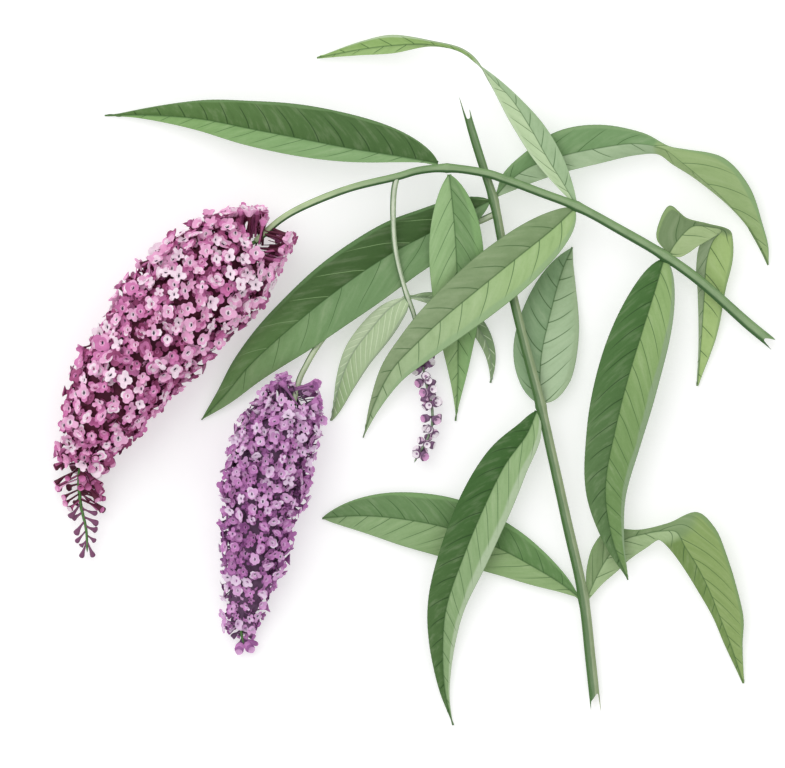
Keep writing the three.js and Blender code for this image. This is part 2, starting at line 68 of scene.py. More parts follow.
# Stems: route from foot to tip, radius at both ends, and nodes, the places where leaves join.
# foot, tip: how that end is torn, where it is. It is cut short by some millimetres, but for
# tongues of bark as (angle, length, sharpness); the last two numbers are the stretch that this
# bends and how thin the stem is there.
# bark: light colour, dark green of the painted shade down one side, angle of that side, how wide
# it is as a cosine, and how strong the painted highlight along the top is.
# far: the colour that the bark turns to, and the shares of the length between which it does.
STEMS = {
    "upright_stem": {
        "route": [(92, -163.5, 2.8), (89.5, -139.5, 3.4), (85.8, -108, 6), (77.3, -69.5, 9),
                  (70.6, -39.5, 10.8), (64.5, -12.5, 12), (55.8, 20.5, 13.2),
                  (47.6, 55.5, 14.2), (40.8, 90.5, 15), (36.4, 104.5, 15.2),
                  (30.6, 123, 15.3), (25.2, 142.5, 15.3)],
        "radius": (2.6, 1.95), "nodes": [(84, -108), (64.5, -12.5), (41.5, 90.5)],
        "foot": (-12, [(0.6, 8.5, 0.6), (0.2, 6, 40), (3.1, 5, 6), (3.1, 7.5, 40)], 34, 0.95),
        "tip": (-12, [(0.1, 12.5, 7), (3.0, 5, 5)], 26, 0.88),
        "bark": ("#93A37C", "#4B6F3C", 0.4, 0.12, 0.15), "far": ("#5F8350", 0.78, 0.9),
    },
    "arching_branch": {
        "route": [(179.5, 19.5, 5.2), (169, 28, 7.2), (144, 50, 11.8), (126.5, 62.5, 13.8),
                  (104.4, 75.4, 16), (82.3, 87.2, 18), (64, 94.2, 19), (44, 101.6, 20.2),
                  (37, 103.7, 20.6), (17.8, 106.3, 21.6), (3, 105, 22.2), (-7.5, 102, 23),
                  (-31, 96.2, 24), (-56, 86.2, 24), (-66, 80.2, 23.7), (-78, 69.6, 23.4)],
        "radius": (2.6, 1.55), "nodes": [(126.5, 62.5), (82, 87), (17.5, 106.3)],
        "foot": (-6.5, [(0.0, 8.8, 3.5), (2.8, 7.4, 1.4)], 16, 1.0),
        "bark": ("#7B9B68", "#3F6436", 0.1, 0.4, 0.15), "far": ("#BCCFA0", 0.68, 0.9),
    },
    "side_shoot": {
        "route": [(-7.5, 102.4, 23), (-9, 95.5, 21.8), (-9.5, 88.5, 20.8), (-9.5, 80.5, 19.8),
                  (-9, 70.5, 18.8), (-7.5, 60.5, 17.8), (-5, 50.5, 16.3), (-2.5, 42.5, 14.8),
                  (0.5, 34.5, 12.4), (3, 24.5, 9.8), (4.6, 14.9, 8.2)],
        "radius": (1.4, 1.0), "nodes": [(-2.5, 42.5)],
        "bark": ("#A7BA97", "#5F7E55", 3.0, 0.55, 0.9), "far": ("#8FA67E", 0.6, 0.9),
    },
    "purple_flower_stalk": {
        "route": [(42.5, 84, 13), (36, 81, 10.5), (29, 78, 8.4), (9, 67.5, 6), (-11, 54.5, 6),
                  (-31, 36.5, 8), (-42.5, 24, 10.6), (-48.6, 15.5, 14), (-52.8, 8, 17),
                  (-56.2, 1, 18.8), (-59.2, -10.5, 20)],
        "radius": (1.5, 1.4), "nodes": [],
        "bark": ("#B3C29B", "#62785A", 3.1, 0.6, 0.6), "far": ("#B0C295", 0.6, 0.9),
    },
}
WHOLE_END = (0.0, [], 9, 1.0)               # an end that isn't torn
NODE_SWELL = 0.16         # share by which a stem thickens where leaves join it
NODE_REACH = 4.0          # half length of that swelling

# Open leaves: the midrib's route from stem to point.
# left, right, looking from stem to point: half width, where it is widest, how sharply it
# narrows, and how far that edge is raised above the midrib.
# tones: near and far green of the left half, then of the right one: the leaf's own greens with
# painted light and shade, one half lit and the other shaded as light falls on the bowed blade.
# turn: shares of the length between which the near greens turn to the far ones.
# veins: millimetres between side veins, and how much they lean, on the left half and on the
# right one where that differs.
# rim: the half with a band of another green along its edge, that green, and the band's share.
# pale_veins: the half whose side veins are pale. young: pale side veins on both halves.
LEAVES = {
    "branch_leaf_left": {
        "route": [(13, 108.5, 22), (-6, 112, 24), (-31, 116, 24.5), (-56, 121, 22.5),
                  (-81, 126, 18), (-106, 131, 11.5), (-131, 133, 5.5), (-154, 133, 2.2)],
        "left": (9, 0.46, 1.6, 1.5), "right": (17.2, 0.34, 1.3, 2.5),
        "tones": ("#84A771", "#80A564", "#4A6B38", "#587A40"), "turn": (0.2, 0.95),
        "veins": (12, 1.7, 0.45), "rim": ("right", "#6B8C59", 0.1),
    },
    "branch_leaf_down": {
        "route": [(18.5, 103.1, 20.6), (20, 90.5, 20.2), (21.5, 73, 18.6), (22.5, 55.5, 15.4),
                  (23, 38, 11.2), (23, 18, 6.8), (23, 0.5, 4.2), (22, -20, 2.2)],
        "left": (13.8, 0.34, 1.4, 1), "right": (13.7, 0.36, 1.4, 0.5),
        "tones": ("#739561", "#88AC70", "#95B67F", "#90AF76"), "turn": (0.35, 0.7),
        "veins": (12.5, 1.4), "rim": ("left", "#84AA6E", 0.35),
    },
    "branch_leaf_crossing": {
        "route": [(81, 86, 18), (71, 76.5, 20.4), (52.5, 61.5, 21.2), (34, 46.5, 20),
                  (16.5, 32, 18.2), (1.5, 18, 15.5), (-10, 5.5, 11.5), (-19, -12, 6),
                  (-24.5, -28.5, 2.2)],
        "left": (14.6, 0.34, 1.1, 1), "right": (13.3, 0.32, 1.3, 1),
        "tones": ("#9DBA7E", "#A2B98E", "#7F976A", "#8CA078"), "turn": (0.1, 0.95),
        "veins": (15.5, 0.8), "rim": ("left", "#93B082", 0.3),
    },
    "branch_leaf_long": {
        "route": [(126, 61, 13.5), (121.5, 45.5, 16), (114.5, 23, 17.5), (107, -2, 17),
                  (101, -27, 15.5), (97, -48.5, 14.2), (97, -62, 13.5), (101, -82, 12.6),
                  (108, -99.5, 11.5)],
        "left": (15.5, 0.38, 0.9, 1), "right": (15.9, 0.36, 1.1, 1.5),
        "tones": ("#8FAD6E", "#6F8F55", "#476E36", "#5A7949"), "turn": (0.15, 0.8),
        "veins": (12, 1.1, 0.8), "rim": ("left", "#8DA381", 0.2),
    },
    "stem_leaf_top_left": {
        "route": [(39, 90, 14.8), (24, 82.5, 14), (8, 73.5, 13.2), (-9, 64.5, 14), (-31, 50, 16),
                  (-56, 30.5, 16.5), (-81, 8, 10), (-93.5, -7, 5.4), (-105.5, -19.5, 2.4)],
        "left": (17.3, 0.42, 1, 0.6), "right": (15.6, 0.39, 0.95, 0.6),
        "tones": ("#719261", "#7DA068", "#3F5E2D", "#668B50"), "turn": (0.45, 0.9),
        "veins": (23, 1.2, 1.5), "rim": ("right", "#5F8250", 0.16), "pale_veins": "right",
    },
    "stem_leaf_middle_left": {
        "route": [(62.5, -15, 12), (57.5, -26.5, 13.2), (46.5, -42, 13.8), (35, -65.5, 13),
                  (25.5, -88.5, 11.5), (17.5, -112, 9), (15.5, -129.5, 6.2),
                  (16.5, -154.5, 3.2), (20.5, -172.5, 2.2)],
        "left": (13.1, 0.34, 1.3, 1.5), "right": (13.1, 0.36, 1.2, 1),
        "tones": ("#91AF7A", "#88A574", "#3D642D", "#4C6D3A"), "turn": (0.2, 0.85),
        "veins": (11.5, 1.5, 0.7), "rim": ("left", "#B4C6A6", 0.32),
    },
    "stem_leaf_middle_right": {
        "route": [(64.5, -11.5, 8.8), (64, 0.5, 6.8), (65, 14.5, 5.4), (68.5, 30.5, 4.3),
                  (73, 48, 3.6), (76.5, 58.5, 3.2), (80.5, 67, 2.8)],
        "left": (14.8, 0.42, 0.9, 0.8), "right": (17.6, 0.32, 1, 0.8),
        "tones": ("#8BA880", "#82A077", "#ADC49F", "#9FB890"), "turn": (0.2, 0.8),
        "veins": (10.5, 0.5), "rim": ("right", "#A2B892", 0.22),
    },
    "stem_leaf_bottom_left": {
        "route": [(84, -108.5, 5.8), (74, -101, 5.2), (59, -92, 4.6), (44, -84, 4.2),
                  (19, -74, 4.2), (-6, -69, 4), (-26, -67.5, 3), (-45, -68.7, 2)],
        "left": (14.9, 0.52, 0.9, 0.5), "right": (15.2, 0.54, 0.8, 0.5),
        "tones": ("#8EAB74", "#8BA976", "#62874F", "#6A8B59"), "turn": (0.3, 0.85),
        "veins": (12, 1.3, 0.8), "rim": ("right", "#7DA368", 0.18),
    },
    "side_leaf_left": {
        "route": [(-3, 42, 14.6), (-11.5, 36, 13.3), (-20.4, 26, 11), (-29.5, 14, 7.8),
                  (-35.5, 0.5, 4.8), (-38.5, -10.5, 3), (-40.5, -20, 1.6)],
        "left": (10.7, 0.36, 0.7, 0.4), "right": (5.4, 0.36, 1.7, 0.4),
        "tones": ("#AFC49A", "#9BB784", "#BACBA7", "#A0B990"), "turn": (0.4, 0.9),
        "veins": (5, 1.4), "rim": ("left", "#97A88C", 0.12), "young": True,
    },
    "side_leaf_right": {
        "route": [(-1.5, 42, 14.4), (9, 41.5, 8.5), (20, 38, 5.5), (29, 31.5, 4), (35, 24, 3.4),
                  (39, 14.5, 3), (40, 6.5, 2.4), (39.5, -1, 1.6)],
        "left": (4.5, 0.45, 1, 0.3), "right": (4.5, 0.45, 1, 0.3),
        "tones": ("#9DB58C", "#7F9A6E", "#B0C3A0", "#8BA279"), "turn": (0.3, 0.8),
        "veins": (7, 1.4), "rim": ("left", "#7F9672", 0.2), "young": True,
    },
}

# Leaves that turn over on themselves: midrib and both edges as routes. The far tones, painted
# light and shade of the part that faces the light another way, show beyond the fold, which is
# the number of the midrib's place where the leaf turns over.
FOLDED_LEAVES = {
    "branch_leaf_top": {
        "midrib": [(81.5, 88.5, 18.2), (75, 99.5, 19.5), (68, 110.5, 20.6), (59, 126.5, 21.5),
                   (49.5, 141, 22), (40.5, 150.5, 22), (32.5, 159, 21.5), (24, 165, 20),
                   (9, 168.5, 17), (-8.5, 168, 12), (-26, 166, 6.5), (-47.5, 162, 2)],
        "left": [(80.5, 88.5, 18.2), (70, 99.5, 18.8), (60, 111.5, 19.6), (50.5, 126.5, 20.2),
                 (43.5, 139.5, 21.5), (38.5, 149.5, 24), (32.5, 160, 26.5), (25, 166, 23.5),
                 (10, 170, 19), (-10, 173, 13.5), (-25.5, 170, 8), (-47.5, 162.2, 2)],
        "right": [(82.5, 88.5, 18.2), (80.5, 97.5, 19.2), (75.5, 111.5, 19.8), (65.5, 128.5, 20),
                  (54, 141, 20), (43, 151, 18.5), (32.4, 159, 16.5), (24, 165, 16),
                  (9.5, 167.6, 14.5), (-9, 164, 11), (-27, 163, 6), (-47.5, 161.6, 2)],
        "fold": 6, "tones": ("#B9D0A4", "#94B56C", "#9FBA90", "#9DBC78"),
        "veins": (11.5, 1.3), "rim": ("left", "#C2D6B0", 0.2),
    },
    "branch_leaf_right": {
        "midrib": [(128.5, 63.5, 14.5), (130.5, 67, 16), (133, 70.5, 17.5), (136, 74, 19),
                   (140.5, 77.2, 20.6), (148, 76.8, 20.6), (154.5, 75.2, 19.5), (150.5, 70, 15),
                   (147.4, 60, 9), (146.5, 45.5, 4.6), (145, 23, 3.2), (143, -2.5, 2)],
        "left": [(127.8, 64, 14.5), (122.3, 70.5, 17), (122.8, 77.5, 19.5),
                 (128.5, 87.5, 22), (137, 81.2, 22.5), (148, 78.2, 22), (158.5, 75, 20.5),
                 (160.3, 70, 16.5), (160.3, 60, 11), (157.2, 46.5, 5.6), (152.8, 23.5, 4),
                 (143.3, -2.5, 2)],
        "right": [(129.4, 62.8, 14.5), (133.5, 61.8, 15), (138, 63.8, 16), (142.5, 67, 17.5),
                  (147, 69.6, 18.5), (152, 72.8, 19.2), (152.5, 73.4, 17.5), (144.5, 69, 13.5),
                  (142.2, 57, 8), (143, 44.5, 4), (143.5, 21.5, 2.8), (142.7, -2.5, 2)],
        "fold": 6, "tones": ("#788F64", "#A7C17C", "#A4BA85", "#92A680"),
        "veins": (13, 0.9), "rim": ("left", "#8FAA70", 0.16),
    },
    "stem_leaf_top_right": {
        "midrib": [(42.5, 93, 14.4), (49, 100, 13.5), (59, 107, 13.5), (75, 112.5, 14.2),
                   (94, 116.5, 15), (111.5, 118.5, 16), (126, 115.8, 16.5), (133, 110.5, 16),
                   (144, 101.5, 13), (155, 91.5, 10), (167, 78.5, 6), (174, 67, 3.5),
                   (178.5, 58, 2)],
        "left": [(42, 93.8, 14.4), (45.5, 103.5, 14), (55, 113, 14.6), (72, 124.5, 15.8),
                 (93, 128, 17), (115.5, 124, 15), (128.5, 117.6, 12.5), (137, 116, 12),
                 (156, 111.5, 11), (169, 97, 9), (175.5, 78.5, 6), (178.5, 67, 3.6),
                 (178.6, 58, 2)],
        "right": [(43, 92.2, 14.4), (50, 95, 13.8), (60, 99, 14), (76.5, 104.5, 14.8),
                  (95, 109, 13.5), (113, 113, 12), (123, 113.5, 10), (130.5, 108, 10),
                  (142.5, 100.5, 7), (154.8, 91, 5), (166.7, 78.7, 3.4), (173.8, 67.2, 2.6),
                  (178.3, 58, 2)],
        "fold": 6, "tones": ("#779A67", "#97B077", "#A3BB94", "#97B077"),
        "veins": (18, 1.2), "rim": ("left", "#86A673", 0.2),
    },
    "stem_leaf_bottom_right": {
        "midrib": [(88, -108, 6.5), (92, -99, 6), (97.5, -89, 6), (105.5, -80, 6.5),
                   (116.5, -76.5, 9.5), (126, -75, 13), (132, -75.5, 14.5), (136.5, -83, 13),
                   (142.5, -92.5, 10.5), (149, -105.5, 7.5), (154, -118, 5), (159.5, -132, 3),
                   (166, -151.5, 2)],
        "left": [(87.2, -107, 6.5), (87.5, -93.5, 7), (91, -82, 7), (98, -74.5, 7.5),
                 (114, -74.5, 10), (128, -71, 14), (142.5, -65.5, 15), (151.5, -73.5, 14),
                 (157.5, -87.5, 12), (163, -105.5, 9), (166, -119.5, 6), (165.5, -132, 4),
                 (166.3, -151.5, 2)],
        "right": [(88.8, -109, 6.5), (95.5, -101.5, 5.5), (103, -95, 5), (109.5, -89, 5),
                  (118, -83, 8), (123, -79.5, 11.5), (124.5, -80, 12), (129, -84.5, 10.5),
                  (136.5, -94.5, 8), (144, -106.5, 5), (151, -119, 3), (156.5, -132, 2.4),
                  (165.7, -151.5, 2)],
        "fold": 6, "tones": ("#819A6A", "#8CA564", "#A0B887", "#759051"),
        "veins": (11.5, 1.3), "rim": ("left", "#7F9C66", 0.16),
    },
}
PETIOLE = 1.0             # half width of a leaf where it leaves the stem
TIP = 0.3                 # half width at its point

# ---- settings a user would change --------------------------------------------------------


def srgb(code):
    """Linear colour of a "#RRGGBB" paint code."""
    parts = [int(code[i:i + 2], 16) / 255 for i in (1, 3, 5)]
    return tuple(c / 12.92 if c <= 0.04045 else ((c + 0.055) / 1.055) ** 2.4 for c in parts)


def colour(name, description, code):
    return FloatVectorProperty(
        name=name, description=description, default=srgb(code), subtype="COLOR", size=3,
        min=0, max=1)


def length(name, description, metres):
    return FloatProperty(
        name=name, description=description, default=metres, subtype="DISTANCE",
        unit="LENGTH", min=0, precision=5)


class StemSettings(PropertyGroup):
    """Bark of the stems."""

    young_bark: colour("Young bark", "Pale streaks along the stems", "#BCCFA0")
    # Shine: the colour of a painted highlight along the top of a stem.
    painted_highlight: colour("Shine", "Pale down along the top of a stem", "#D9E0CC")
    pith: colour("Pith", "Cut and torn ends", "#C9CFA8")
    relief: length("Ridge height", "Height of the fine ridges along the bark", 0.00009)


class LeafSettings(PropertyGroup):
    """Blades and veins of the leaves."""

    thickness: length("Thickness", "Thickness of a blade", 0.0005)
    vein_depth: length("Vein depth", "How far side veins are sunk", 0.0002)
    vein_width: length("Vein width", "Width of a side vein", 0.00055)
    vein: colour("Side veins", "Colour of the side veins", "#3E6132")
    pale_vein: colour("Pale side veins", "Colour of pale side veins", "#86A570")
    felt: colour("Underside", "Pale felt under the leaves", "#A9BC98")


class FlowerSettings(PropertyGroup):
    """Florets of the three flower heads."""

    pink_floret: length("Pink floret", "Radius of a floret on the pink head", 0.0041)
    purple_floret: length("Purple floret", "Radius of a floret on the purple head", 0.0033)
    young_floret: length("Young floret", "Radius of a floret on the young spike", 0.0026)
    eye: colour("Eye", "Throat in the middle of a floret", "#433B4C")
    rachis: colour("Flower stalk", "Green stalk inside a flower head", "#6D9A55")


class StageSettings(PropertyGroup):
    """Floor, light and camera."""

    floor: colour("Floor", "Colour of the floor", "#D6D6D6")
    glow: FloatProperty(name="Floor glow", description="Light that comes through the floor",
                        default=0.42, min=0)
    sky: FloatProperty(name="Room light", description="Strength of the even light",
                       default=0.8, min=0)
    key: FloatProperty(name="Key light", description="Power of the large soft light",
                       default=22.0, min=0, subtype="POWER", unit="POWER")
    view_width: length("View width", "Width that the camera takes in", 0.3925)
    lens: FloatProperty(name="Lens", description="Focal length, long for a flat view",
                        default=500.0, min=1, subtype="DISTANCE_CAMERA", unit="CAMERA")


# ---- curves and meshes -------------------------------------------------------------------


def to_part(millimetres):
    return (millimetres - CENTRE) / 1000


LOWEST = 0.1              # millimetres above the table


def on_table(points):
    """Flattens what would dip below the table."""
    points[:, 2] = np.maximum(points[:, 2], LOWEST)
    return points


def unit(vectors):
    return vectors / np.linalg.norm(vectors, axis=-1, keepdims=True)


def smooth(low, high, value):
    """0 below low, 1 above high, and a soft step between them."""
    share = np.clip((value - low) / (high - low), 0, 1)
    return share * share * (3 - 2 * share)


ROUTE_SAMPLES = 201


class Route:
    """Smooth curve through places, the centripetal spline that the solids follow too."""

    def __init__(self, places):
        self.places = np.array(places, float)
        first, last = self.places[[0, -1]]
        self.padded = np.vstack([2 * first - self.places[1], self.places,
                                 2 * last - self.places[-2]])
        self.shares = np.linspace(0, 1, ROUTE_SAMPLES)
        steps = np.linalg.norm(np.diff(self.at(self.shares), axis=0), axis=1)
        self.travelled = np.concatenate([[0], np.cumsum(steps)])
        self.length = self.travelled[-1]

    def at(self, share):
        """Points at shares of the count of places."""
        spans = len(self.places) - 1
        where = np.clip(np.atleast_1d(share), 0, 1) * spans
        index = np.minimum(where.astype(int), spans - 1)
        w = (where - index)[:, None]
        p0, p1, p2, p3 = (self.padded[index + k] for k in range(4))
        d0, d1, d2 = (np.sqrt(np.linalg.norm(b - a, axis=1))[:, None]
                      for a, b in ((p0, p1), (p1, p2), (p2, p3)))
        start = ((p1 - p0) / d0 - (p2 - p0) / (d0 + d1) + (p2 - p1) / d1) * d1
        end = ((p2 - p1) / d1 - (p3 - p1) / (d1 + d2) + (p3 - p2) / d2) * d1
        return ((2 * w**3 - 3 * w**2 + 1) * p1 + (w**3 - 2 * w**2 + w) * start
                + (3 * w**2 - 2 * w**3) * p2 + (w**3 - w**2) * end)

    def by_length(self, share):
        """The share of the count of places at a share of the length."""
        return np.interp(np.atleast_1d(share) * self.length, self.travelled, self.shares)

    def by_places(self, share):
        """The share of the length at a share of the count of places."""
        return float(np.interp(share, self.shares, self.travelled / self.length))

    def along(self, share):
        return self.at(self.by_length(share))

    def heading(self, share):
        step = 0.002
        share = np.clip(np.atleast_1d(share), step, 1 - step)
        return unit(self.along(share + step) - self.along(share - step))

    def frame(self, share):
        """Middle, heading, level direction to the left, and upright direction."""
        heading = self.heading(share)
        level = np.column_stack([-heading[:, 1], heading[:, 0], np.zeros(len(heading))])
        aside = unit(level)
        return self.along(share), heading, aside, np.cross(heading, aside)

    def section(self, share):
        """The same at a single share."""
        return [part[0] for part in self.frame(share)]


def around(middle, aside, above, angle, wide, high):
    """Points at angles round the middles of a route, as wide and as high as given."""
    return (middle + aside * (wide * np.cos(angle))[:, None]
            + above * (high * np.sin(angle))[:, None])


def vertex_array(mesh):
    flat = np.empty(len(mesh.vertices) * 3)
    mesh.vertices.foreach_get("co", flat)
    return flat.reshape(-1, 3)


def grid_piece(name, rows, columns, place):
    """Grid primitive whose points are moved by place(u, v), where u and v run from 0 to 1."""
    bpy.ops.mesh.primitive_grid_add(x_subdivisions=rows, y_subdivisions=columns, size=1)
    piece = bpy.context.active_object
    piece.name = piece.data.name = name
    u, v = vertex_array(piece.data)[:, :2].T + 0.5
    piece.data.vertices.foreach_set("co", to_part(on_table(place(u, v))).ravel())
    piece.data.update()
    return piece


def choose(piece):
    """Makes the piece the only one that operators act on."""
    bpy.ops.object.select_all(action="DESELECT")
    piece.select_set(True)
    bpy.context.view_layer.objects.active = piece


SEAM = 0.000004           # metres between points that are one point after all


def close_seams(piece):
    """Joins the points that meet where a grid is rolled up, and turns its faces outwards."""
    choose(piece)
    bpy.ops.object.mode_set(mode="EDIT")
    bpy.ops.mesh.select_all(action="SELECT")
    bpy.ops.mesh.remove_doubles(threshold=SEAM)
    bpy.ops.mesh.normals_make_consistent(inside=False)
    bpy.ops.object.mode_set(mode="OBJECT")


SMOOTH_EDGE = math.radians(50)              # edges flatter than this are shaded smooth


def finish_piece(piece, slot, *nodes):
    """Smooth shading, the body it rides on and the solids it stands for; slot is not used."""
    choose(piece)
    bpy.ops.object.shade_smooth_by_angle(angle=SMOOTH_EDGE)
    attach(piece, "root")
    if nodes:
        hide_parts(*nodes)


# ---- materials ---------------------------------------------------------------------------


def both_ways(operation):
    """A maths operator and its reflected form, for when a number comes first."""
    def plain(self, other):
        return self.maths(operation, self, other)

    def reflected(self, other):
        return self.maths(operation, other, self)

    return plain, reflected


class Signal:
    """A node's output, so that shader maths reads as Python: 1 - mask adds a Math node."""

    __add__, __radd__ = both_ways("ADD")
    __sub__, __rsub__ = both_ways("SUBTRACT")
    __mul__, __rmul__ = both_ways("MULTIPLY")

    def __init__(self, finish, socket):
        self.finish = finish
        self.socket = socket

    def maths(self, operation, *values):
        return self.finish.node("ShaderNodeMath", {"operation": operation},
                                dict(enumerate(values)))

    def __gt__(self, other):
        return self.maths("GREATER_THAN", self, other)

    def size(self):
        return self.maths("ABSOLUTE", self)

    def fraction(self):
        return self.maths("FRACT", self)

    def cosine(self):
        return self.maths("COSINE", self)

    def sine(self):
        return self.maths("SINE", self)

    def step(self, low, high):
        """0 below low, 1 above high, and a soft step between them."""
        return self.finish.node("ShaderNodeMapRange", {"interpolation_type": "SMOOTHSTEP"},
                                {"Value": self, "From Min": low, "From Max": high})


class Finish:
    """A material made of nodes round one Principled shader."""

    def __init__(self, name, **fixed):
        self.material = bpy.data.materials.new(name)
        self.material.use_nodes = True
        self.tree = self.material.node_tree
        self.shader = self.tree.nodes["Principled BSDF"]
        for socket, value in fixed.items():
            self.shader.inputs[socket.replace("_", " ")].default_value = value

    def put(self, socket, value):
        if isinstance(value, Signal):
            self.tree.links.new(value.socket, socket)
        elif hasattr(value, "__len__") and len(value) == 3 and socket.type == "RGBA":
            socket.default_value = (*value, 1)
        else:
            socket.default_value = value

    def node(self, kind, settings=None, inputs=None, output=0):
        """Adds a node: its settings first, then values or links by socket name or number."""
        node = self.tree.nodes.new(kind)
        for name, value in (settings or {}).items():
            setattr(node, name, value)
        for socket, value in (inputs or {}).items():
            self.put(node.inputs[socket], value)
        return Signal(self, node.outputs[output])

    def blend(self, factor, first, second, way="MIX"):
        """First colour, turning to the second where factor is 1."""
        return self.node("ShaderNodeMix", {"data_type": "RGBA", "blend_type": way},
                         {0: factor, 6: first, 7: second}, 2)

    def noise(self, scale, detail=3.0, vector=None):
        """Soft noise, by default over the piece's own space."""
        vector = vector or self.place()
        return self.node("ShaderNodeTexNoise", None,
                         {"Vector": vector, "Scale": scale, "Detail": detail,
                          "Roughness": 0.55})

    def place(self):
        return self.node("ShaderNodeTexCoord", output="Object")

    def parts(self, vector):
        split = self.node("ShaderNodeSeparateXYZ", inputs={0: vector}).socket.node
        return [Signal(self, socket) for socket in split.outputs]

    def vector(self, *parts):
        return self.node("ShaderNodeCombineXYZ", inputs=dict(enumerate(parts)))

    def unrolled(self):
        """How far along and across the grid that a piece was made from, both 0 to 1."""
        return self.parts(self.node("ShaderNodeUVMap", {"uv_map": "UVMap"}))[:2]

    def surface(self, name):
        """Parts of the piece's own attribute."""
        return self.parts(self.node("ShaderNodeAttribute", {"attribute_name": name},
                                    output="Vector"))

    def feed(self, socket, value):
        self.put(self.shader.inputs[socket], value)

    def bump(self, height, strength, distance):
        normal = self.node("ShaderNodeBump", None,
                           {"Height": height, "Strength": strength, "Distance": distance})
        self.feed("Normal", normal)


# ---- stems -------------------------------------------------------------------------------

STEM_SIDES = 40
STEM_STEP = 1.1           # millimetres between the rings of a stem
CAP_RINGS = 5             # rings that close each end
COLLAR_SWELL = 0.1        # share by which a stem thickens in the narrow ring at a node
COLLAR_SPREAD = 0.8       # square millimetres that this ring spreads over
HOLLOW = 0.4              # depth of a closed end's middle, in radii
SQUARE = 0.035            # share by which a stem's four corners stand out
# Ridges of the bark: how many go round the stem, their height, and how they wander.
RIDGES = ((7, 0.5, 31, 0.3), (13, 0.8, 19, 1.7), (19, 0.6, 13, 4.1), (5, 0.5, 47, 2.2))


def near_nodes(stem, points, spread):
    """1 at the stem's nodes, falling to 0 away from them."""
    return sum(np.exp(-((points[:, 0] - x) ** 2 + (points[:, 1] - y) ** 2) / spread)
               for x, y in stem["nodes"])


def stem_radius(stem, points, share):
    start, end = stem["radius"]
    swell = NODE_SWELL * near_nodes(stem, points, NODE_REACH**2)
    collar = COLLAR_SWELL * near_nodes(stem, points, COLLAR_SPREAD)
    return (start + (end - start) * share) * (1 + swell + collar)


def bark_height(angle, travelled):
    """Fine ridges that run along a stem and wander a little round it."""
    height = 0
    for count, weight, pitch, phase in RIDGES:
        wander = 0.8 * np.sin(travelled / pitch + phase)
        height = height + weight * np.sin(count * (angle + 0.12 * wander) + phase)
    return height


def torn_reach(cut, tongues, angle):
    """How far each side of a torn end reaches past the end of the route."""
    reach = cut
    for where, extent, sharpness in tongues:
        reach = reach + extent * np.exp(-sharpness * (1 - np.cos(angle - where)))
    return reach


def build_stem(name, stem, ridge):
    curve = Route(stem["route"])
    rings = round(curve.length / STEM_STEP)
    rows = rings + 2 * CAP_RINGS

    def place(u, v):
        ring = u * rows - CAP_RINGS
        share = np.clip(ring / rings, 0, 1)
        angle = 2 * math.pi * v
        middle, heading, aside, above = curve.frame(share)
        radius = stem_radius(stem, middle, share)
        fullness = 1 + SQUARE * np.cos(4 * angle) + ridge / radius * bark_height(
            angle, share * curve.length)
        for end, inward, way in (("foot", -ring, -1), ("tip", ring - rings, 1)):
            cut, tongues, stretch, thinness = stem.get(end, WHOLE_END)
            inside = np.clip(inward / CAP_RINGS, 0, 1)
            near = smooth(-stretch / STEM_STEP, 0, inward)
            fullness = fullness * np.sqrt(np.clip(1 - inside, 0, 1)) * (
                1 + (thinness - 1) * near)
            reach = torn_reach(cut, tongues, angle) * near
            deep = cut - HOLLOW * radius
            reach = reach + (deep - reach) * smooth(0, 0.7, inside)
            middle = middle + heading * (way * reach)[:, None]
        return around(middle, aside, above, angle, radius * fullness, radius * fullness)

    piece = grid_piece(name, rows, STEM_SIDES, place)
    rim = CAP_RINGS / rows
    for face in piece.data.polygons:
        share = (face.index % rows + 0.5) / rows
        face.material_index = int(share < rim or share > 1 - rim)
    close_seams(piece)
    return piece


def bark_finish(name, bark, young, painted_highlight, far=None):
    """Bark: painted shade down a side and far edge, painted highlight on top, lighter strokes,
    far tone.
    """
    light, dark, shade_at, shade_from, highlight_and_streaks = bark
    finish = Finish(name, Roughness=0.72, Specular_IOR_Level=0.25)
    along, across = finish.unrolled()
    stroke = finish.noise(6, 4, finish.vector(along * 9, across * 14, 0.0))
    patch = finish.noise(90)
    angle = across * (2 * math.pi) - shade_at
    aside = angle.cosine() + (stroke - 0.5) * 0.7
    base = finish.blend((stroke - 0.45) * (0.5 + highlight_and_streaks), srgb(light), young)
    if far:
        tone, start, end = far
        base = finish.blend(along.step(start, end) * 0.9, base, srgb(tone))
    # Painted shade: dark green down one side, and a thin dark line along the far edge.
    base = finish.blend(aside.step(shade_from, shade_from + 0.25), base, srgb(dark))
    base = finish.blend((0 - aside).step(0.8, 1.0) * 0.6, base, srgb(dark))
    # Painted highlight along the top of the stem.
    top = (angle + shade_at).sine() + (stroke - 0.5) * 0.9
    base = finish.blend(top.step(0.72, 1.0) * highlight_and_streaks, base, painted_highlight)
    base = finish.blend((patch - 0.42) * 0.8, base, srgb(dark))
    finish.feed("Base Color", base)
    finish.feed("Roughness", 0.6 + stroke * 0.25)
    finish.bump(stroke, 0.35, 0.0002)
    return finish.material


def pith_finish(name, tone):
    finish = Finish(name, Roughness=0.85, Specular_IOR_Level=0.2)
    grain = finish.noise(900)
    finish.feed("Base Color", finish.blend(grain, tone, srgb("#8F9A6A")))
    finish.bump(grain, 0.4, 0.0002)
    return finish.material


def make_stem(context, name, *nodes):
    """A stem with its bark and pith, over the solids of those nodes."""
    settings = context.scene.sprig_stems
    stem = STEMS[name]
    piece = build_stem(name + "_bark", stem, settings.relief * 1000)
    piece.data.materials.append(
        bark_finish(name + "_bark", stem["bark"], settings.young_bark, settings.painted_highlight,
                    stem["far"]))
    piece.data.materials.append(pith_finish(name + "_pith", settings.pith))
    finish_piece(piece, "stem_green", *nodes)


# ---- leaves ------------------------------------------------------------------------------

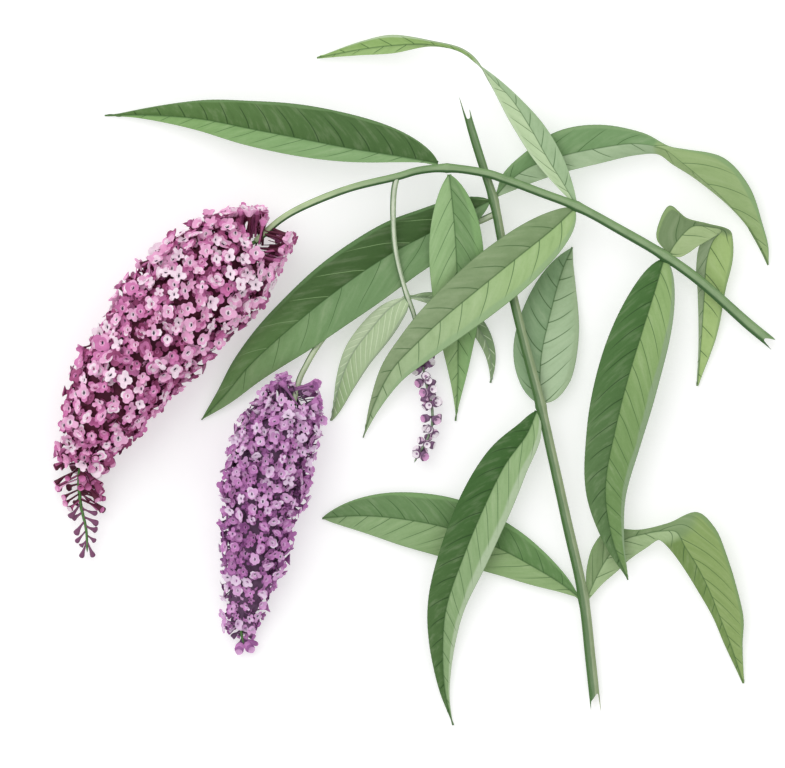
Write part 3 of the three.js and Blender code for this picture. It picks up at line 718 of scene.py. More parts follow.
LEAF_STEP = 0.75          # millimetres between the rows of a blade
LEAF_COLUMNS = 28
CUPPING = 0.28            # how far a half bows up between midrib and edge, over its width
VEIN_SHIFT = 0.37         # of their spacing, between the side veins of both halves
VEIN_CURVE = 0.035        # how much side veins bend to the leaf's point on their way out
VEIN_SPREAD = 0.55        # millimetres from a side vein over which the blade sinks to it
QUILTING = 4.4            # height of the blade between side veins, over the veins' depth
RIB_DEPTH = 0.28          # millimetres that the midrib is sunk
RIB_SPREAD = 0.7
WAVE_HEIGHT = 0.35        # millimetres that the edge rises and falls
WAVE_PITCH = 6.3
TOOTH_DEPTH = 0.16        # millimetres
TOOTH_PITCH = 2.4
# Side veins on the darkest halves are darker still, painted shade like that of their half.
DARK_VEIN = "#24431A"     # side veins on halves darker than DARK_GREEN
DARK_GREEN = 0.3          # red, green and blue of a half in linear colour, added up
YOUNG_VEIN = "#D6E4C2"
YOUNG_RIB = "#7F9078"


def half_width(side, share):
    width, widest, sharpness = side[:3]
    share = np.clip(share, 0, 1)
    rise = sharpness * widest / (1 - widest)
    shape = (share / widest) ** rise * ((1 - share) / (1 - widest)) ** sharpness
    return np.maximum(width * shape, PETIOLE + (TIP - PETIOLE) * share)


def open_blade(leaf):
    """Place on an open leaf's upper face: share of its length, and -1 right to 1 left."""
    curve = Route(leaf["route"])
    left, right = leaf["left"], leaf["right"]

    def place(share, across):
        middle, _, aside, _ = curve.frame(share)
        on_left = across > 0
        half = np.where(on_left, half_width(left, share), half_width(right, share))
        raised = np.where(on_left, left[3] / left[0], right[3] / right[0])
        span = np.abs(across)
        height = half * (raised * span + CUPPING * span * (1 - span))
        return middle + aside * (across * half)[:, None] + UP * height[:, None]

    return place, curve.length


def turn_at_fold(leaf):
    """Shares of a folded leaf's length between which its near greens turn to the far ones."""
    fold = Route(leaf["midrib"]).by_places(leaf["fold"] / (len(leaf["midrib"]) - 1))
    return fold - 0.02, fold + 0.02


def folded_blade(leaf):
    """The same for a leaf that turns over on itself, between its midrib and two edges."""
    left, middle, right = (Route(leaf[name]) for name in ("left", "midrib", "right"))

    def place(share, across):
        step = middle.by_length(share)
        edge = np.where((across > 0)[:, None], left.at(step), right.at(step))
        inner = middle.at(step)
        return inner + (edge - inner) * np.abs(across)[:, None]

    return place, middle.length


def vein_phase(along, aside, veins):
    """Counts side veins: whole numbers lie on a vein, which leans and curves to the point.

    veins are their spacing and how much they lean on the left half and on the right one.
    """
    out = np.abs(aside)
    lean = np.where(aside > 0, veins[1], veins[-1]) * out + VEIN_CURVE * out**2
    return (along - lean) / veins[0] + 0.12 * np.sin(along / 17)


def edge_teeth(along, across, half):
    """How far the edge's blunt teeth reach out, or in below 0."""
    offset = 0.5 * (across > 0)
    teeth = TOOTH_DEPTH * (np.abs(np.mod(along / TOOTH_PITCH + offset, 1) - 0.5) - 0.25)
    edge = smooth(0.8, 1.0, np.abs(across)) * smooth(2, 5, half)
    return np.sign(across) * teeth * edge


def blade_relief(along, across, half, phase, spacing, depth, seed):
    """Height over the plain blade: sunk side veins, quilting, a sunk midrib and a wavy edge."""
    span = np.abs(across)
    broad = smooth(3, 9, half)
    shifted = phase + VEIN_SHIFT * (across > 0)
    nearness = np.abs(shifted - np.round(shifted)) * spacing
    fade = smooth(0.02, 0.1, span) * (1 - smooth(0.75, 0.97, span))
    veins = -depth * np.exp(-(nearness / VEIN_SPREAD) ** 2) * fade
    pillows = np.sin(math.pi * (shifted % 1)) ** 2
    quilt = QUILTING * depth * pillows * span * (1 - span) * broad
    rib = -RIB_DEPTH * np.exp(-(span * half / RIB_SPREAD) ** 2)
    wave = WAVE_HEIGHT * np.sin(along / WAVE_PITCH + seed + 2 * (across > 0))
    return veins + quilt + rib + wave * (span**3 * broad)


def build_leaf(name, leaf, blade, settings):
    base, extent = blade
    rows = round(extent / LEAF_STEP)
    depth = settings.vein_depth * 1000
    seed = sum(map(ord, name)) % 17
    measures = {}

    def place(u, v):
        across = 2 * v - 1
        ahead = base(np.clip(u + 0.001, 0, 1), across) - base(np.clip(u - 0.001, 0, 1), across)
        beside = (base(u, np.clip(across + 0.02, -1, 1))
                  - base(u, np.clip(across - 0.02, -1, 1)))
        normal = unit(np.cross(ahead, beside))
        outer = base(u, np.where(across > 0, 1.0, -1.0))
        middle = base(u, np.zeros_like(u))
        half = np.linalg.norm(outer - middle, axis=1)
        along = u * extent
        phase = vein_phase(along, across * half, leaf["veins"])
        measures["blade"] = np.column_stack([along, across * half, phase])
        teeth = edge_teeth(along, across, half)
        relief = blade_relief(along, across, half, phase, leaf["veins"][0], depth, seed)
        return base(u, across) + unit(beside) * teeth[:, None] + normal * relief[:, None]

    piece = grid_piece(name, rows, LEAF_COLUMNS, place)
    blade = piece.data.attributes.new("blade", "FLOAT_VECTOR", "POINT")
    blade.data.foreach_set("vector", measures["blade"].ravel())
    solid = piece.modifiers.new("Blade", "SOLIDIFY")
    solid.thickness = settings.thickness
    solid.offset = -1
    solid.material_offset = 1
    bpy.ops.object.modifier_apply(modifier=solid.name)
    return piece


def vein_colour(leaf, half, settings):
    """Colour of the side veins on the left or right half of a leaf."""
    near_green = srgb(leaf["tones"][0 if half == "left" else 2])
    if leaf.get("young"):
        return srgb(YOUNG_VEIN)
    if leaf.get("pale_veins") == half:
        return settings.pale_vein
    return srgb(DARK_VEIN) if sum(near_green) < DARK_GREEN else settings.vein


def leaf_finish(name, leaf, settings, felted):
    """Leaf: each half a green with painted light and shade, turning along it, thin side veins, a
    rim.
    """
    finish = Finish(name, Roughness=0.62, Specular_IOR_Level=0.28)
    along, across = finish.unrolled()
    _, aside, phase = finish.surface("blade")
    across = across * 2 - 1
    span = across.size()
    on_left = across > 0
    halves = across.step(-0.015, 0.015)
    wash = finish.noise(28, 2)
    grain = finish.noise(620, 2)

    # both greens of each half, with painted light and shade, and soft strokes between the side
    # veins
    left_near, left_far, right_near, right_far = (srgb(tone) for tone in leaf["tones"])
    turn = leaf["turn"] if "turn" in leaf else turn_at_fold(leaf)
    turned = (along + (wash - 0.5) * 0.25).step(*turn)
    base = finish.blend(halves, finish.blend(turned, right_near, right_far),
                        finish.blend(turned, left_near, left_far))
    strokes = finish.noise(1.0, 3, finish.vector(phase * 3.1, span * 1.6, on_left))
    darker = finish.blend(1.0, base, (0.62, 0.68, 0.58), "MULTIPLY")
    lighter = finish.blend(0.22, base, (0.8, 0.86, 0.62))
    base = finish.blend((strokes - 0.52) * 1.6, base, darker)
    base = finish.blend((0.5 - strokes) * 1.8, base, lighter)

    # a band of another green along one edge
    side, tone, share = leaf["rim"]
    on_side = on_left if side == "left" else 1 - on_left
    rim = (span + (wash - 0.5) * 0.3).step(1 - share, 1 - share * 0.6)
    base = finish.blend(rim * on_side * 0.8, base, srgb(tone))

    # side veins, midrib and edge
    shifted = phase + on_left * VEIN_SHIFT + (wash - 0.5) * 0.3
    gap = 0.5 - (shifted.fraction() - 0.5).size()
    width = settings.vein_width * 1000 / leaf["veins"][0]
    line = 1 - gap.step(width * 0.3, width * 0.85)
    reach = 1 - (span + (strokes - 0.5) * 0.5).step(0.62, 0.95)
    veins = finish.blend(halves, vein_colour(leaf, "right", settings),
                         vein_colour(leaf, "left", settings))
    base = finish.blend(line * reach * 0.78, base, veins)
    midrib = 1 - aside.size().step(0.12, 0.5)
    rib_colour = srgb(YOUNG_RIB) if leaf.get("young") else settings.vein
    base = finish.blend(midrib * 0.6, base, rib_colour)
    base = finish.blend(span.step(0.965, 1.0) * 0.5, base, settings.vein)
    base = finish.blend((grain - 0.5) * 0.5, base, darker)
    if felted:
        base = finish.blend(0.72, base, settings.felt)
    finish.feed("Base Color", base)
    finish.feed("Roughness", 0.55 + grain * 0.2)
    cells = finish.node("ShaderNodeTexVoronoi", {"feature": "DISTANCE_TO_EDGE"},
                        {"Vector": finish.place(), "Scale": 900})
    finish.bump(cells.step(0.0, 0.12), 0.25, 0.00012)
    return finish.material


def make_leaf(context, name, leaf, blade, *nodes):
    """A leaf with both its faces; only an open leaf has pale felt under it."""
    settings = context.scene.sprig_leaves
    piece = build_leaf(name + "_blade", leaf, blade, settings)
    for layer, felted in (("_upper", False), ("_under", "fold" not in leaf)):
        piece.data.materials.append(leaf_finish(name + layer, leaf, settings, felted))
    finish_piece(piece, SLOTS[nodes[0]], *nodes)


# ---- flower heads ------------------------------------------------------------------------

# left, right: outline at even steps along the route, from the stalk to the tip of the buds.
# bare, open_to: shares of the route between which open florets stand.
# layers: how many florets stand in each of the LAYERS.
# fall: how much deeper the florets' tone is, at even steps along the route.
# shoulders: how far back florets reach beside the stalk, left and right, and at what share of
# the outline; shoulder_florets: how many there are on each side.
# bells, buds: how many half-open florets and buds stand past open_to; bell: the bells' kind.
HEADS = {
    "pink_flower_head": {
        "route": [(-75.5, 71.5, 23.4), (-99.5, 54.5, 25), (-126, 24.5, 25.6),
                  (-152.5, -12, 22.5), (-165.5, -42, 14.5), (-166, -59.5, 10.5),
                  (-163, -74.5, 8.5), (-162.5, -86, 7.5)],
        "left": [19, 27, 29.5, 28.2, 28, 25.5, 24, 22, 17.5, 14.5, 13, 8.5, 3.5],
        "right": [19, 23, 26.3, 28.8, 28.5, 25.8, 24.8, 22.3, 17, 13, 11, 8.5, 3.5],
        "open_to": 0.755, "layers": (320, 310, 270), "shoulders": ((15, 0.5), (10.5, 0.66)),
        "fall": (-0.6, -0.4, 0.0, 0.1, 0.1, 0.2), "bare": 0.032,
        "shoulder_florets": 44, "bells": 64, "buds": 9, "bell": "trumpet", "seed": 11,
    },
    "purple_flower_head": {
        "route": [(-57.5, -9, 18.5), (-63.5, -22, 19.6), (-70, -37, 20), (-73.5, -52, 19.4),
                  (-76.5, -67, 17.6), (-80.5, -97, 13), (-84, -112, 9.8),
                  (-85.5, -124.5, 7.5), (-84, -133, 6)],
        "left": [15, 18, 19, 21.3, 21.5, 20, 18, 17.8, 16.2, 12.8, 10.2, 8, 5],
        "right": [16.5, 19, 21.3, 21, 21.2, 19.8, 17.8, 16.7, 15.2, 12.8, 10.2, 9, 4],
        "open_to": 0.93, "layers": (290, 290, 280), "shoulders": ((12, 0.42), (9.4, 0.67)),
        "fall": (-0.7, -0.45, 0.35, 0.75, -0.2, -0.8), "bare": 0.028,
        "shoulder_florets": 36, "bells": 22, "buds": 0, "bell": "cup", "seed": 23,
    },
}
HEAD_SQUASH = 0.86        # height of a head over its width
SPIKE = {
    "route": [(4.6, 14.9, 8.2), (6, 4.5, 7.8), (8, -4.5, 7.6), (10, -13.5, 7.6), (10, -22, 7.6),
              (7.5, -29.5, 7.2), (4, -35.5, 6.8), (1, -41, 6.4)],
    "radius": (0.7, 0.4), "florets": 36, "whorl": 4, "reach": 6.2, "seed": 5,
}

# Material numbers in a flower head, and their colours. An eye's is a setting.
# The seventh is a lighter tube colour and also a painted highlight down one side of bells; the
# ninth is the painted highlight down one side of buds.
# The sixth colour is the dark red of the tubes, and painted shade where it fills a head's
# middle.
PALE, LIGHT, MID, DEEP, EYE, DARK_RED_AND_GAP_SHADE, LIGHT_TUBE_AND_HIGHLIGHT, BUD, BUD_HIGHLIGHT = range(9)
PETALS = {
    "pink_flower_head": ("#F9E4F1", "#F0B4D9", "#D680B6", "#A5527F", None, "#5A2238",
                         "#AE5A88", "#835273", "#D9A8CB"),
    "purple_flower_head": ("#EBD3EB", "#DCAAD8", "#C683C0", "#A265A0", None, "#644864",
                           "#A870A4", "#7E5A86", "#C49AC6"),
    "young_flower_spike": ("#F8F0F6", "#EAC8E2", "#DBA6D0", "#8F6E8E", "#A98BA8", "#755675",
                           "#A688A2"),
}
PETAL_SHADE = 0.88        # brightness of a petal's darker streaks


class Heap:
    """Many small shapes that become one piece, each face with its own material."""

    def __init__(self):
        self.points, self.faces, self.paints = [], [], []
        self.count = 0

    def add(self, points, faces, paints):
        self.points.append(points)
        self.faces += [[corner + self.count for corner in face] for face in faces]
        self.paints += paints
        self.count += len(points)

    def piece(self, name, materials):
        mesh = bpy.data.meshes.new(name)
        mesh.from_pydata(to_part(on_table(np.vstack(self.points))), [], self.faces)
        for material in materials:
            mesh.materials.append(material)
        mesh.polygons.foreach_set("material_index", self.paints)
        mesh.update()
        piece = bpy.data.objects.new(name, mesh)
        bpy.context.collection.objects.link(piece)
        return piece


def ring_faces(lower, upper, count):
    """Quads between two rings of points whose first numbers are given."""
    return [(lower + i, lower + (i + 1) % count, upper + (i + 1) % count, upper + i)
            for i in range(count)]


def basis(facing):
    """Two directions square to facing."""
    helper = np.array([1.0, 0, 0]) if abs(facing[2]) > 0.9 else UP
    side = unit(np.cross(facing, helper))
    return side, np.cross(facing, side)


def oval(angle, side, other, wide, high):
    """Points at angles round the origin, as far out along two directions as given."""
    return (np.multiply.outer(np.cos(angle) * wide, side)
            + np.multiply.outer(np.sin(angle) * high, other))


def bowed(foot, line, sag, share):
    """Point at a share of a line from foot, which sag bends most at its middle."""
    return foot + line * share + sag * math.sin(math.pi * share)


def streaked(paint, painted_highlight, sides):
    """Paints of a band of faces whose first two carry a painted highlight."""
    return [painted_highlight] * 2 + [paint] * (sides - 2)


def add_closed(heap, rings, bands, tip, end):
    """Adds rings joined by painted bands of faces, and a fan from the last ring to tip."""
    n = len(rings[0])
    faces, last = [], len(bands) * n
    for lower in range(0, last, n):
        faces += ring_faces(lower, lower + n, n)
    faces += [(last + i, last + (i + 1) % n, last + n) for i in range(n)]
    heap.add(np.vstack([*rings, tip]), faces, sum(bands, []) + [end] * n)


# An open floret's tube: radius and depth of its rings, the depth as a share of the tube's.
TUBE_SIDES = 4
TUBE_RINGS = ((0.15, 0.32), (0.11, 1.0))
FLORET_TUBE = 6.0         # millimetres, length of a tube
SHOULDER_TUBE = 11.0      # the same beside the stalk, where it shows


def floret_paints(tone, lit, lobes, rng):
    """Tones of a floret's lobes, their inner parts, its throat, eye and tube."""
    outer = [tone if rng.random() < 0.7 else max(PALE, min(DEEP, tone + rng.choice([-1, 1])))
             for _ in range(lobes)]
    # a floret that faces up gets a throat a step paler, a painted highlight
    throat = max(tone - 1, PALE) if lit else tone
    ringed = rng.random() < 0.3
    inner = [throat if ringed and rng.random() < 0.7 else tone for _ in range(lobes)]
    eye = EYE if rng.random() < 0.65 else DEEP
    tube = LIGHT_TUBE_AND_HIGHLIGHT if rng.random() < 0.35 else DARK_RED_AND_GAP_SHADE
    return outer, inner, throat, eye, tube


def add_floret(heap, middle, facing, radius, tone, tube, rng, cup):
    """An open floret: dark eye, a throat with a painted highlight if it faces up, four or five
    broad lobes, on a tube.

    cup is how far the lobes rise in front of the throat, over the floret's radius.
    """
    lobes, steps = (4, 4) if rng.random() < 0.75 else (5, 3)
    n = lobes * steps
    share = np.arange(n) / steps
    lobe = share.astype(int)
    arch = np.sin(math.pi * (share % 1))
    notch = rng.uniform(0.45, 0.8)
    size = rng.uniform(0.86, 1.14, lobes)[lobe]
    bend = rng.uniform(-0.15, 0.28, lobes)[lobe]
    reach = notch + (size - notch) * arch ** rng.uniform(0.5, 1.1)
    turn = rng.uniform(0, 2 * math.pi)
    angle = turn + 2 * math.pi * np.arange(n) / n
    side, other = basis(facing)
    narrow = rng.uniform(0.78, 1.0)

    def ring(reach, height, angle=angle, narrow=narrow):
        lift = np.broadcast_to(height, angle.shape)
        return middle + radius * (oval(angle, side, other, reach, reach * narrow)
                                  + np.multiply.outer(lift, facing))

    rings = [ring(0.19, -0.16, narrow=0.6), ring(0.34, 0.02),
             ring(0.3 + 0.38 * reach, 0.04 + 0.5 * cup), ring(reach, cup + bend * arch)]
    faces = [tuple(range(n))]
    for k in range(3):
        faces += ring_faces((k + 1) * n, k * n, n)
    outer, inner, throat, eye, near = floret_paints(tone, facing[2] > 0.3, lobes, rng)
    paints = [eye] + [throat] * n + [inner[i] for i in lobe] + [outer[i] for i in lobe]

    round_tube = turn + 2 * math.pi * np.arange(TUBE_SIDES) / TUBE_SIDES
    rings.append(ring(0.32, -0.05, round_tube))
    top = 4 * n
    for (wide, depth), paint in zip(TUBE_RINGS, (near, DARK_RED_AND_GAP_SHADE)):
        rings.append(ring(wide, -depth * tube / radius, round_tube))
        faces += ring_faces(top + TUBE_SIDES, top, TUBE_SIDES)
        paints += [paint] * TUBE_SIDES
        top += TUBE_SIDES
    heap.add(np.vstack(rings), faces, paints)


# Half-open florets: share of their length and of their mouth's radius, up the outer wall and
# down the inner one.
BELLS = {
    "trumpet": ((0, 0.24), (0.5, 0.3), (0.74, 0.58), (0.94, 1), (1, 0.84), (0.74, 0.3)),
    "cup": ((0, 0.15), (0.3, 0.35), (0.55, 0.9), (0.84, 1), (1, 0.82), (0.72, 0.3)),
}
BELL_SIDES = 9
BELL_EYE = 0.6            # share of a bell's length at which its eye lies


def add_bell(heap, foot, mouth, radius, sag, paints, turn, kind, lobing, lift):
    """Half-open floret that shows its side: a tube flares into a lobed mouth with an eye.

    paints are those of the tube, the flare, the rim, the inner wall and the painted highlight
    down one side; lift turns the mouth upwards.
    """
    tube, flare, rim, inner, painted_highlight = paints
    line = mouth - foot
    side = basis(unit(line))[0]
    n = BELL_SIDES
    angle = 2 * math.pi * np.arange(n) / n + turn
    lobed = lobing * np.cos(4 * (angle - turn))
    rings = []
    for share, reach in BELLS[kind]:
        facing = unit(unit(line) + UP * lift * max(share, 0.7))
        level = unit(side - facing * side.dot(facing))
        wide = radius * reach * (1 + lobed * reach)
        rings.append(bowed(foot, line, sag, share)
                     + oval(angle, level, np.cross(facing, level), wide, wide))
    # the first two faces round the tube and flare carry the painted highlight
    outside = [streaked(paint, painted_highlight, n) for paint in (tube, tube, flare)]
    add_closed(heap, rings, [*outside, [rim] * n, [inner] * n],
               bowed(foot, line, sag, BELL_EYE), EYE)


# Bud: share of its length and radius in millimetres.
BUD_SHAPE = ((0, 0.45), (0.35, 0.5), (0.6, 0.8), (0.78, 1.3), (0.9, 1.4), (0.97, 0.9))
BUD_SIDES = 6


def add_bud(heap, foot, tip, sag, fat, paint, painted_highlight):
    """Club-shaped bud on a thin stalk; one side of it carries a painted highlight."""
    line = tip - foot
    side, other = basis(unit(line))
    n = BUD_SIDES
    angle = 2 * math.pi * np.arange(n) / n
    rings = [bowed(foot, line, sag, share) + fat * radius * oval(angle, side, other, 1, 1)
             for share, radius in BUD_SHAPE]
    bands = [streaked(paint, painted_highlight, n)] * (len(BUD_SHAPE) - 1)
    add_closed(heap, rings, bands, foot + line, paint)


AREA_SAMPLES = 200


class Head:
    """Outline of a flower head: places on it by share along the stalk and angle round it."""

    def __init__(self, spec):
        self.curve = Route(spec["route"])
        self.sides = spec["left"], spec["right"]
        ends = np.linspace(0, 1, AREA_SAMPLES)
        area = np.cumsum(self.radius(ends, math.pi / 2))
        self.area = (area / area[-1], ends)

    def radius(self, share, angle):
        left, right = (np.interp(share, np.linspace(0, 1, len(side)), side)
                       for side in self.sides)
        return left + (right - left) * (1 - np.cos(angle)) / 2

    def spread(self, chance, start, end):
        """Share along the stalk at which a chance from 0 to 1 falls, evenly by area."""
        shares, ends = self.area
        low, high = np.interp((start, end), ends, shares)
        return float(np.interp(low + chance * (high - low), shares, ends))

    def place(self, share, angle, rise):
        """Point rise outside the outline, the direction out of it, and that of the stalk."""
        middle, heading, aside, above = self.curve.section(share)
        radius = float(self.radius(share, angle))
        out = unit(aside * math.cos(angle) * HEAD_SQUASH + above * math.sin(angle))
        slope = (self.radius(min(share + 0.02, 1), angle)
                 - self.radius(max(share - 0.02, 0), angle)) / (0.04 * self.curve.length)
        out = unit(out - heading * float(slope))
        edge = middle + radius * (aside * math.cos(angle)
                                  + above * HEAD_SQUASH * math.sin(angle))
        return edge + out * rise, out, heading


TRIES = 30                # for each floret, to find it a free place


def scattered(head, spec, count, apart, rise, rng):
    """Places over a head that keep their distance from one another."""
    found, taken = [], []
    for _ in range(count * TRIES):
        if len(found) == count:
            break
        share = head.spread(rng.random(), spec["bare"], spec["open_to"])
        angle = rng.uniform(0, 2 * math.pi)
        point, out, _ = head.place(share, angle, rng.uniform(*rise))
        if found and np.min(np.linalg.norm(np.array(taken) - point, axis=1)) < apart:
            continue
        taken.append(point)
        found.append((point, out, share, angle))
    return found


# Layers of florets from the outside in: how far outside the outline, how far apart in floret
# radii, and the tone that they are about, deeper for the inner layers as painted shade.
LAYERS = (((-1.4, 0.9), 1.6, 1.15), ((-3.4, -2.0), 1.4, 1.9), ((-5.6, -4.2), 1.25, 2.7))


def petal_tone(base, spec, share, angle, low, rng):
    """Tone number of a floret: deeper in patches, where fall says, and, as painted shade, low on
    the sides.
    """
    patch = 0.35 * math.sin(17 * share + 2.1 * math.sin(angle)) * math.sin(2 * angle + 9 * share)
    fall = np.interp(share, np.linspace(0, 1, len(spec["fall"])), spec["fall"])
    tone = base + patch + fall + 0.65 * low + rng.normal(0, 0.55)
    return int(np.clip(round(float(tone)), PALE, DEEP))


def build_florets(spec, head, radius, rng):
    """Layers of open florets, a third of them cupped, and those beside the stalk."""
    heap = Heap()
    for count, (rise, apart, base) in zip(spec["layers"], LAYERS):
        for point, out, share, angle in scattered(
                head, spec, count, apart * radius, rise, rng):
            facing = unit(out + rng.normal(0, 0.36, 3)
                          + UP * 0.35 * float(smooth(-0.4, 0.4, out[2])))
            # florets that face down on the head's sides get a deeper tone, painted shade
            low = float(1 - smooth(-0.2, 0.75, out[2]))
            tone = petal_tone(base, spec, share, angle, low, rng)
            size = radius * rng.uniform(0.82, 1.18) * (1 - 0.12 * smooth(0.6, 0.8, share))
            cup = rng.uniform(-0.05, 0.2)
            if rng.random() < 0.35:
                cup, size = rng.uniform(0.35, 0.75), 0.85 * size
            add_floret(heap, point, facing, float(size), tone, FLORET_TUBE, rng, cup)
    build_shoulders(heap, spec, head, radius, rng)
    return heap


def build_shoulders(heap, spec, head, radius, rng):
    """Florets that lean out and back beside the stalk and show their tubes from the side."""
    middle, heading, aside, above = head.curve.section(0)
    for way, (back, narrow) in zip((1, -1), spec["shoulders"]):
        wide = float(head.radius(0, 0 if way > 0 else math.pi))
        for _ in range(spec["shoulder_florets"]):
            where = rng.random()
            height = rng.uniform(-0.75, 0.5)
            level = math.sqrt(1 - height**2)
            # from the head's side back to the furthest place, and in towards the stalk
            across = np.interp(where, (0, 0.65, 1), (1.05, narrow, 0.3)) * wide * level
            behind = np.interp(where, (0, 0.65, 1), (-0.35, 1, 0.55)) * back * level
            mouth = (middle + aside * (way * across) - heading * behind
                     + above * (height * wide * HEAD_SQUASH))
            facing = unit(aside * (way * rng.uniform(0.4, 1.2)) - heading * rng.uniform(0.5, 1)
                          + above * (0.5 * height + rng.uniform(-0.2, 0.35)))
            tone = int(rng.choice([LIGHT, MID, DEEP], p=[0.4, 0.4, 0.2]))
            if rng.random() < 0.4:
                add_floret(heap, mouth, unit(facing + UP * rng.uniform(0.1, 0.8)),
                           radius * rng.uniform(0.55, 0.8), tone, SHOULDER_TUBE, rng,
                           rng.uniform(0.1, 0.5))
                continue
            # tube, flare, rim and inner wall, then the colour of the painted highlight down one
            # side
            paints = (LIGHT_TUBE_AND_HIGHLIGHT if tone == MID else DARK_RED_AND_GAP_SHADE, tone, tone, max(tone - 1, PALE),
                      LIGHT if tone == LIGHT else LIGHT_TUBE_AND_HIGHLIGHT)
            add_bell(heap, mouth - facing * rng.uniform(10, 16), mouth,
                     radius * rng.uniform(0.4, 0.65), above * rng.uniform(-0.8, 0.8),
                     paints, rng.uniform(0, 2), "trumpet", 0.35, rng.uniform(0, 0.8))


LAST_BUD = 0.985          # share of the route where the last pair of buds stands
BUD_SPACE = 0.012         # share of the route between two buds
BELLS_BACK = 0.04         # share of the route by which the first bells stand among florets


def add_tip_bells(heap, spec, head, radius, budding, rng):
    """Half-open florets from among the last open ones to where the buds begin."""
    start = spec["open_to"] - BELLS_BACK
    for i in range(spec["bells"]):
        progress = (i / (spec["bells"] - 1)) ** 1.25
        share = start + (budding - start) * progress
        # to the left and right in turn, and every fourth one down
        angle = math.pi * (i % 2) + rng.normal(0, 0.7)
        if i % 4 == 3:
            angle = -math.pi / 2 + rng.uniform(-0.7, 0.7)
        tip, out, heading = head.place(share, angle, rng.uniform(-3.5, 1.0))
        foot = head.curve.along(share)[0]
        reach = float(np.linalg.norm(tip - foot))
        forward = heading * (rng.uniform(0.1, 1.1) * reach)
        bow = out * (rng.uniform(0, 0.25) * reach) + UP * rng.uniform(-1, 1)
        tone = int(rng.choice([LIGHT, MID, DEEP], p=[0.25, 0.45, 0.3]))
        tube = DARK_RED_AND_GAP_SHADE if rng.random() < 0.8 else tone
        # colour of the painted highlight down one side of the bell
        painted_highlight = int(rng.choice([PALE, LIGHT, LIGHT_TUBE_AND_HIGHLIGHT], p=[0.2, 0.3, 0.5]))
        add_bell(heap, foot - heading * 0.3 * reach, tip + forward * 0.6,
                 radius * rng.uniform(0.42, 0.64) * (1 - 0.25 * progress), bow,
                 (tube, tube, DARK_RED_AND_GAP_SHADE if rng.random() < 0.5 else tone, max(tone - 1, PALE), painted_highlight),
                 rng.uniform(0, 2 * math.pi), spec["bell"], 0.1, rng.uniform(0, 1.2))


def add_tip_buds(heap, spec, head, budding, rng):
    """Sparse buds that stand out to the left and right in turn."""
    for i in range(spec["buds"]):
        share = budding + (LAST_BUD - budding) * i / spec["buds"]
        way = 1 if i % 2 else -1
        middle, heading, aside, above = head.curve.section(share)
        reach = 7.2 - 3.2 * i / spec["buds"] + rng.uniform(-0.8, 0.8)
        lean = rng.uniform(0, 0.8)
        tip = middle + (aside * way + heading * lean + above * rng.uniform(-0.3, 0.5)) * reach
        add_bud(heap, middle - heading * 1.5, tip, heading * rng.uniform(-0.5, 0.8),
                rng.uniform(0.9, 1.25), BUD, BUD_HIGHLIGHT)


def build_tip(spec, head, radius, rng):
    """Bells, buds, and a pair of either at the very end of a head's stalk."""
    heap = Heap()
    budding = LAST_BUD - BUD_SPACE * spec["buds"]
    add_tip_bells(heap, spec, head, radius, budding, rng)
    add_tip_buds(heap, spec, head, budding, rng)
    middle, heading, aside, _ = head.curve.section(LAST_BUD)
    for way in (-1, 1):
        tip = middle + heading * rng.uniform(4.5, 6) + aside * (way * 3.2)
        if spec["buds"]:
            add_bud(heap, middle - heading * 3, tip, aside * 0, 1.0, BUD, BUD)
        else:
            # the last colour is the painted highlight down one side of the bell
            add_bell(heap, middle - heading * 3, tip - heading * 1.5, 0.7 * radius, aside * 0,
                     (DARK_RED_AND_GAP_SHADE, MID, DEEP, LIGHT, LIGHT), 0.0, spec["bell"], 0.1, 1.6)
    return heap


CORE_RINGS, CORE_SIDES = 110, 60
LUMPS = 0.9               # millimetres


def build_core(name, spec, head):
    """Dark middle of a head, lumpy with the stalks of its florets, its dark red painted shade
    between them.
    """
    end = spec["open_to"]

    def place(u, v):
        angle = 2 * math.pi * v
        share = spec["bare"] + u * (end - spec["bare"])
        middle, _, aside, above = head.curve.frame(share)
        fill = 0.42 + 0.32 * smooth(0.04, 0.15, share) - 0.3 * smooth(end - 0.12, end, share)
        closed = smooth(0, 0.015, u) * (1 - smooth(0.98, 1, u))
        lumps = np.sin(9 * angle + 60 * u) * np.sin(70 * u + 2 * np.sin(3 * angle))
        radius = (head.radius(share, angle) * fill + LUMPS * lumps) * closed
        return around(middle, aside, above, angle, radius, radius * HEAD_SQUASH)

    piece = grid_piece(name, CORE_RINGS, CORE_SIDES, place)
    close_seams(piece)
    return piece


def petal_finish(name, tone):
    """Petal: a tone with darker streaks, and a soft grain."""
    finish = Finish(name, Roughness=0.6, Specular_IOR_Level=0.2)
    silk = finish.noise(420)
    shade = tuple(channel * PETAL_SHADE for channel in tone)
    finish.feed("Base Color", finish.blend(silk.step(0.35, 0.65), tone, shade))
    finish.feed("Roughness", 0.5 + silk * 0.25)
    finish.bump(silk, 0.3, 0.0002)
    return finish.material


def petal_set(name, settings):
    return [petal_finish(f"{name}_{i}", settings.eye if tone is None else srgb(tone))
            for i, tone in enumerate(PETALS[name])]


RACHIS_STEP = 1.5         # millimetres between the rings of a stalk inside a head
RACHIS_SIDES = 12


def build_rachis(name, route, radius):
    """Green stalk inside a flower head, closed at both ends."""
    curve = Route(route)

    def place(u, v):
        angle = 2 * math.pi * v
        middle, _, aside, above = curve.frame(u)
        closed = np.sqrt(np.clip(smooth(0, 0.02, u) * (1 - smooth(0.985, 1, u)), 0, 1))
        size = (radius[0] + (radius[1] - radius[0]) * u**3) * closed * (
            0.65 + 0.35 * smooth(0.05, 0.3, u)) * (1 + 0.08 * np.cos(4 * angle))
        return around(middle, aside, above, angle, size, size)

    piece = grid_piece(name, round(curve.length / RACHIS_STEP), RACHIS_SIDES, place)
    close_seams(piece)
    return piece


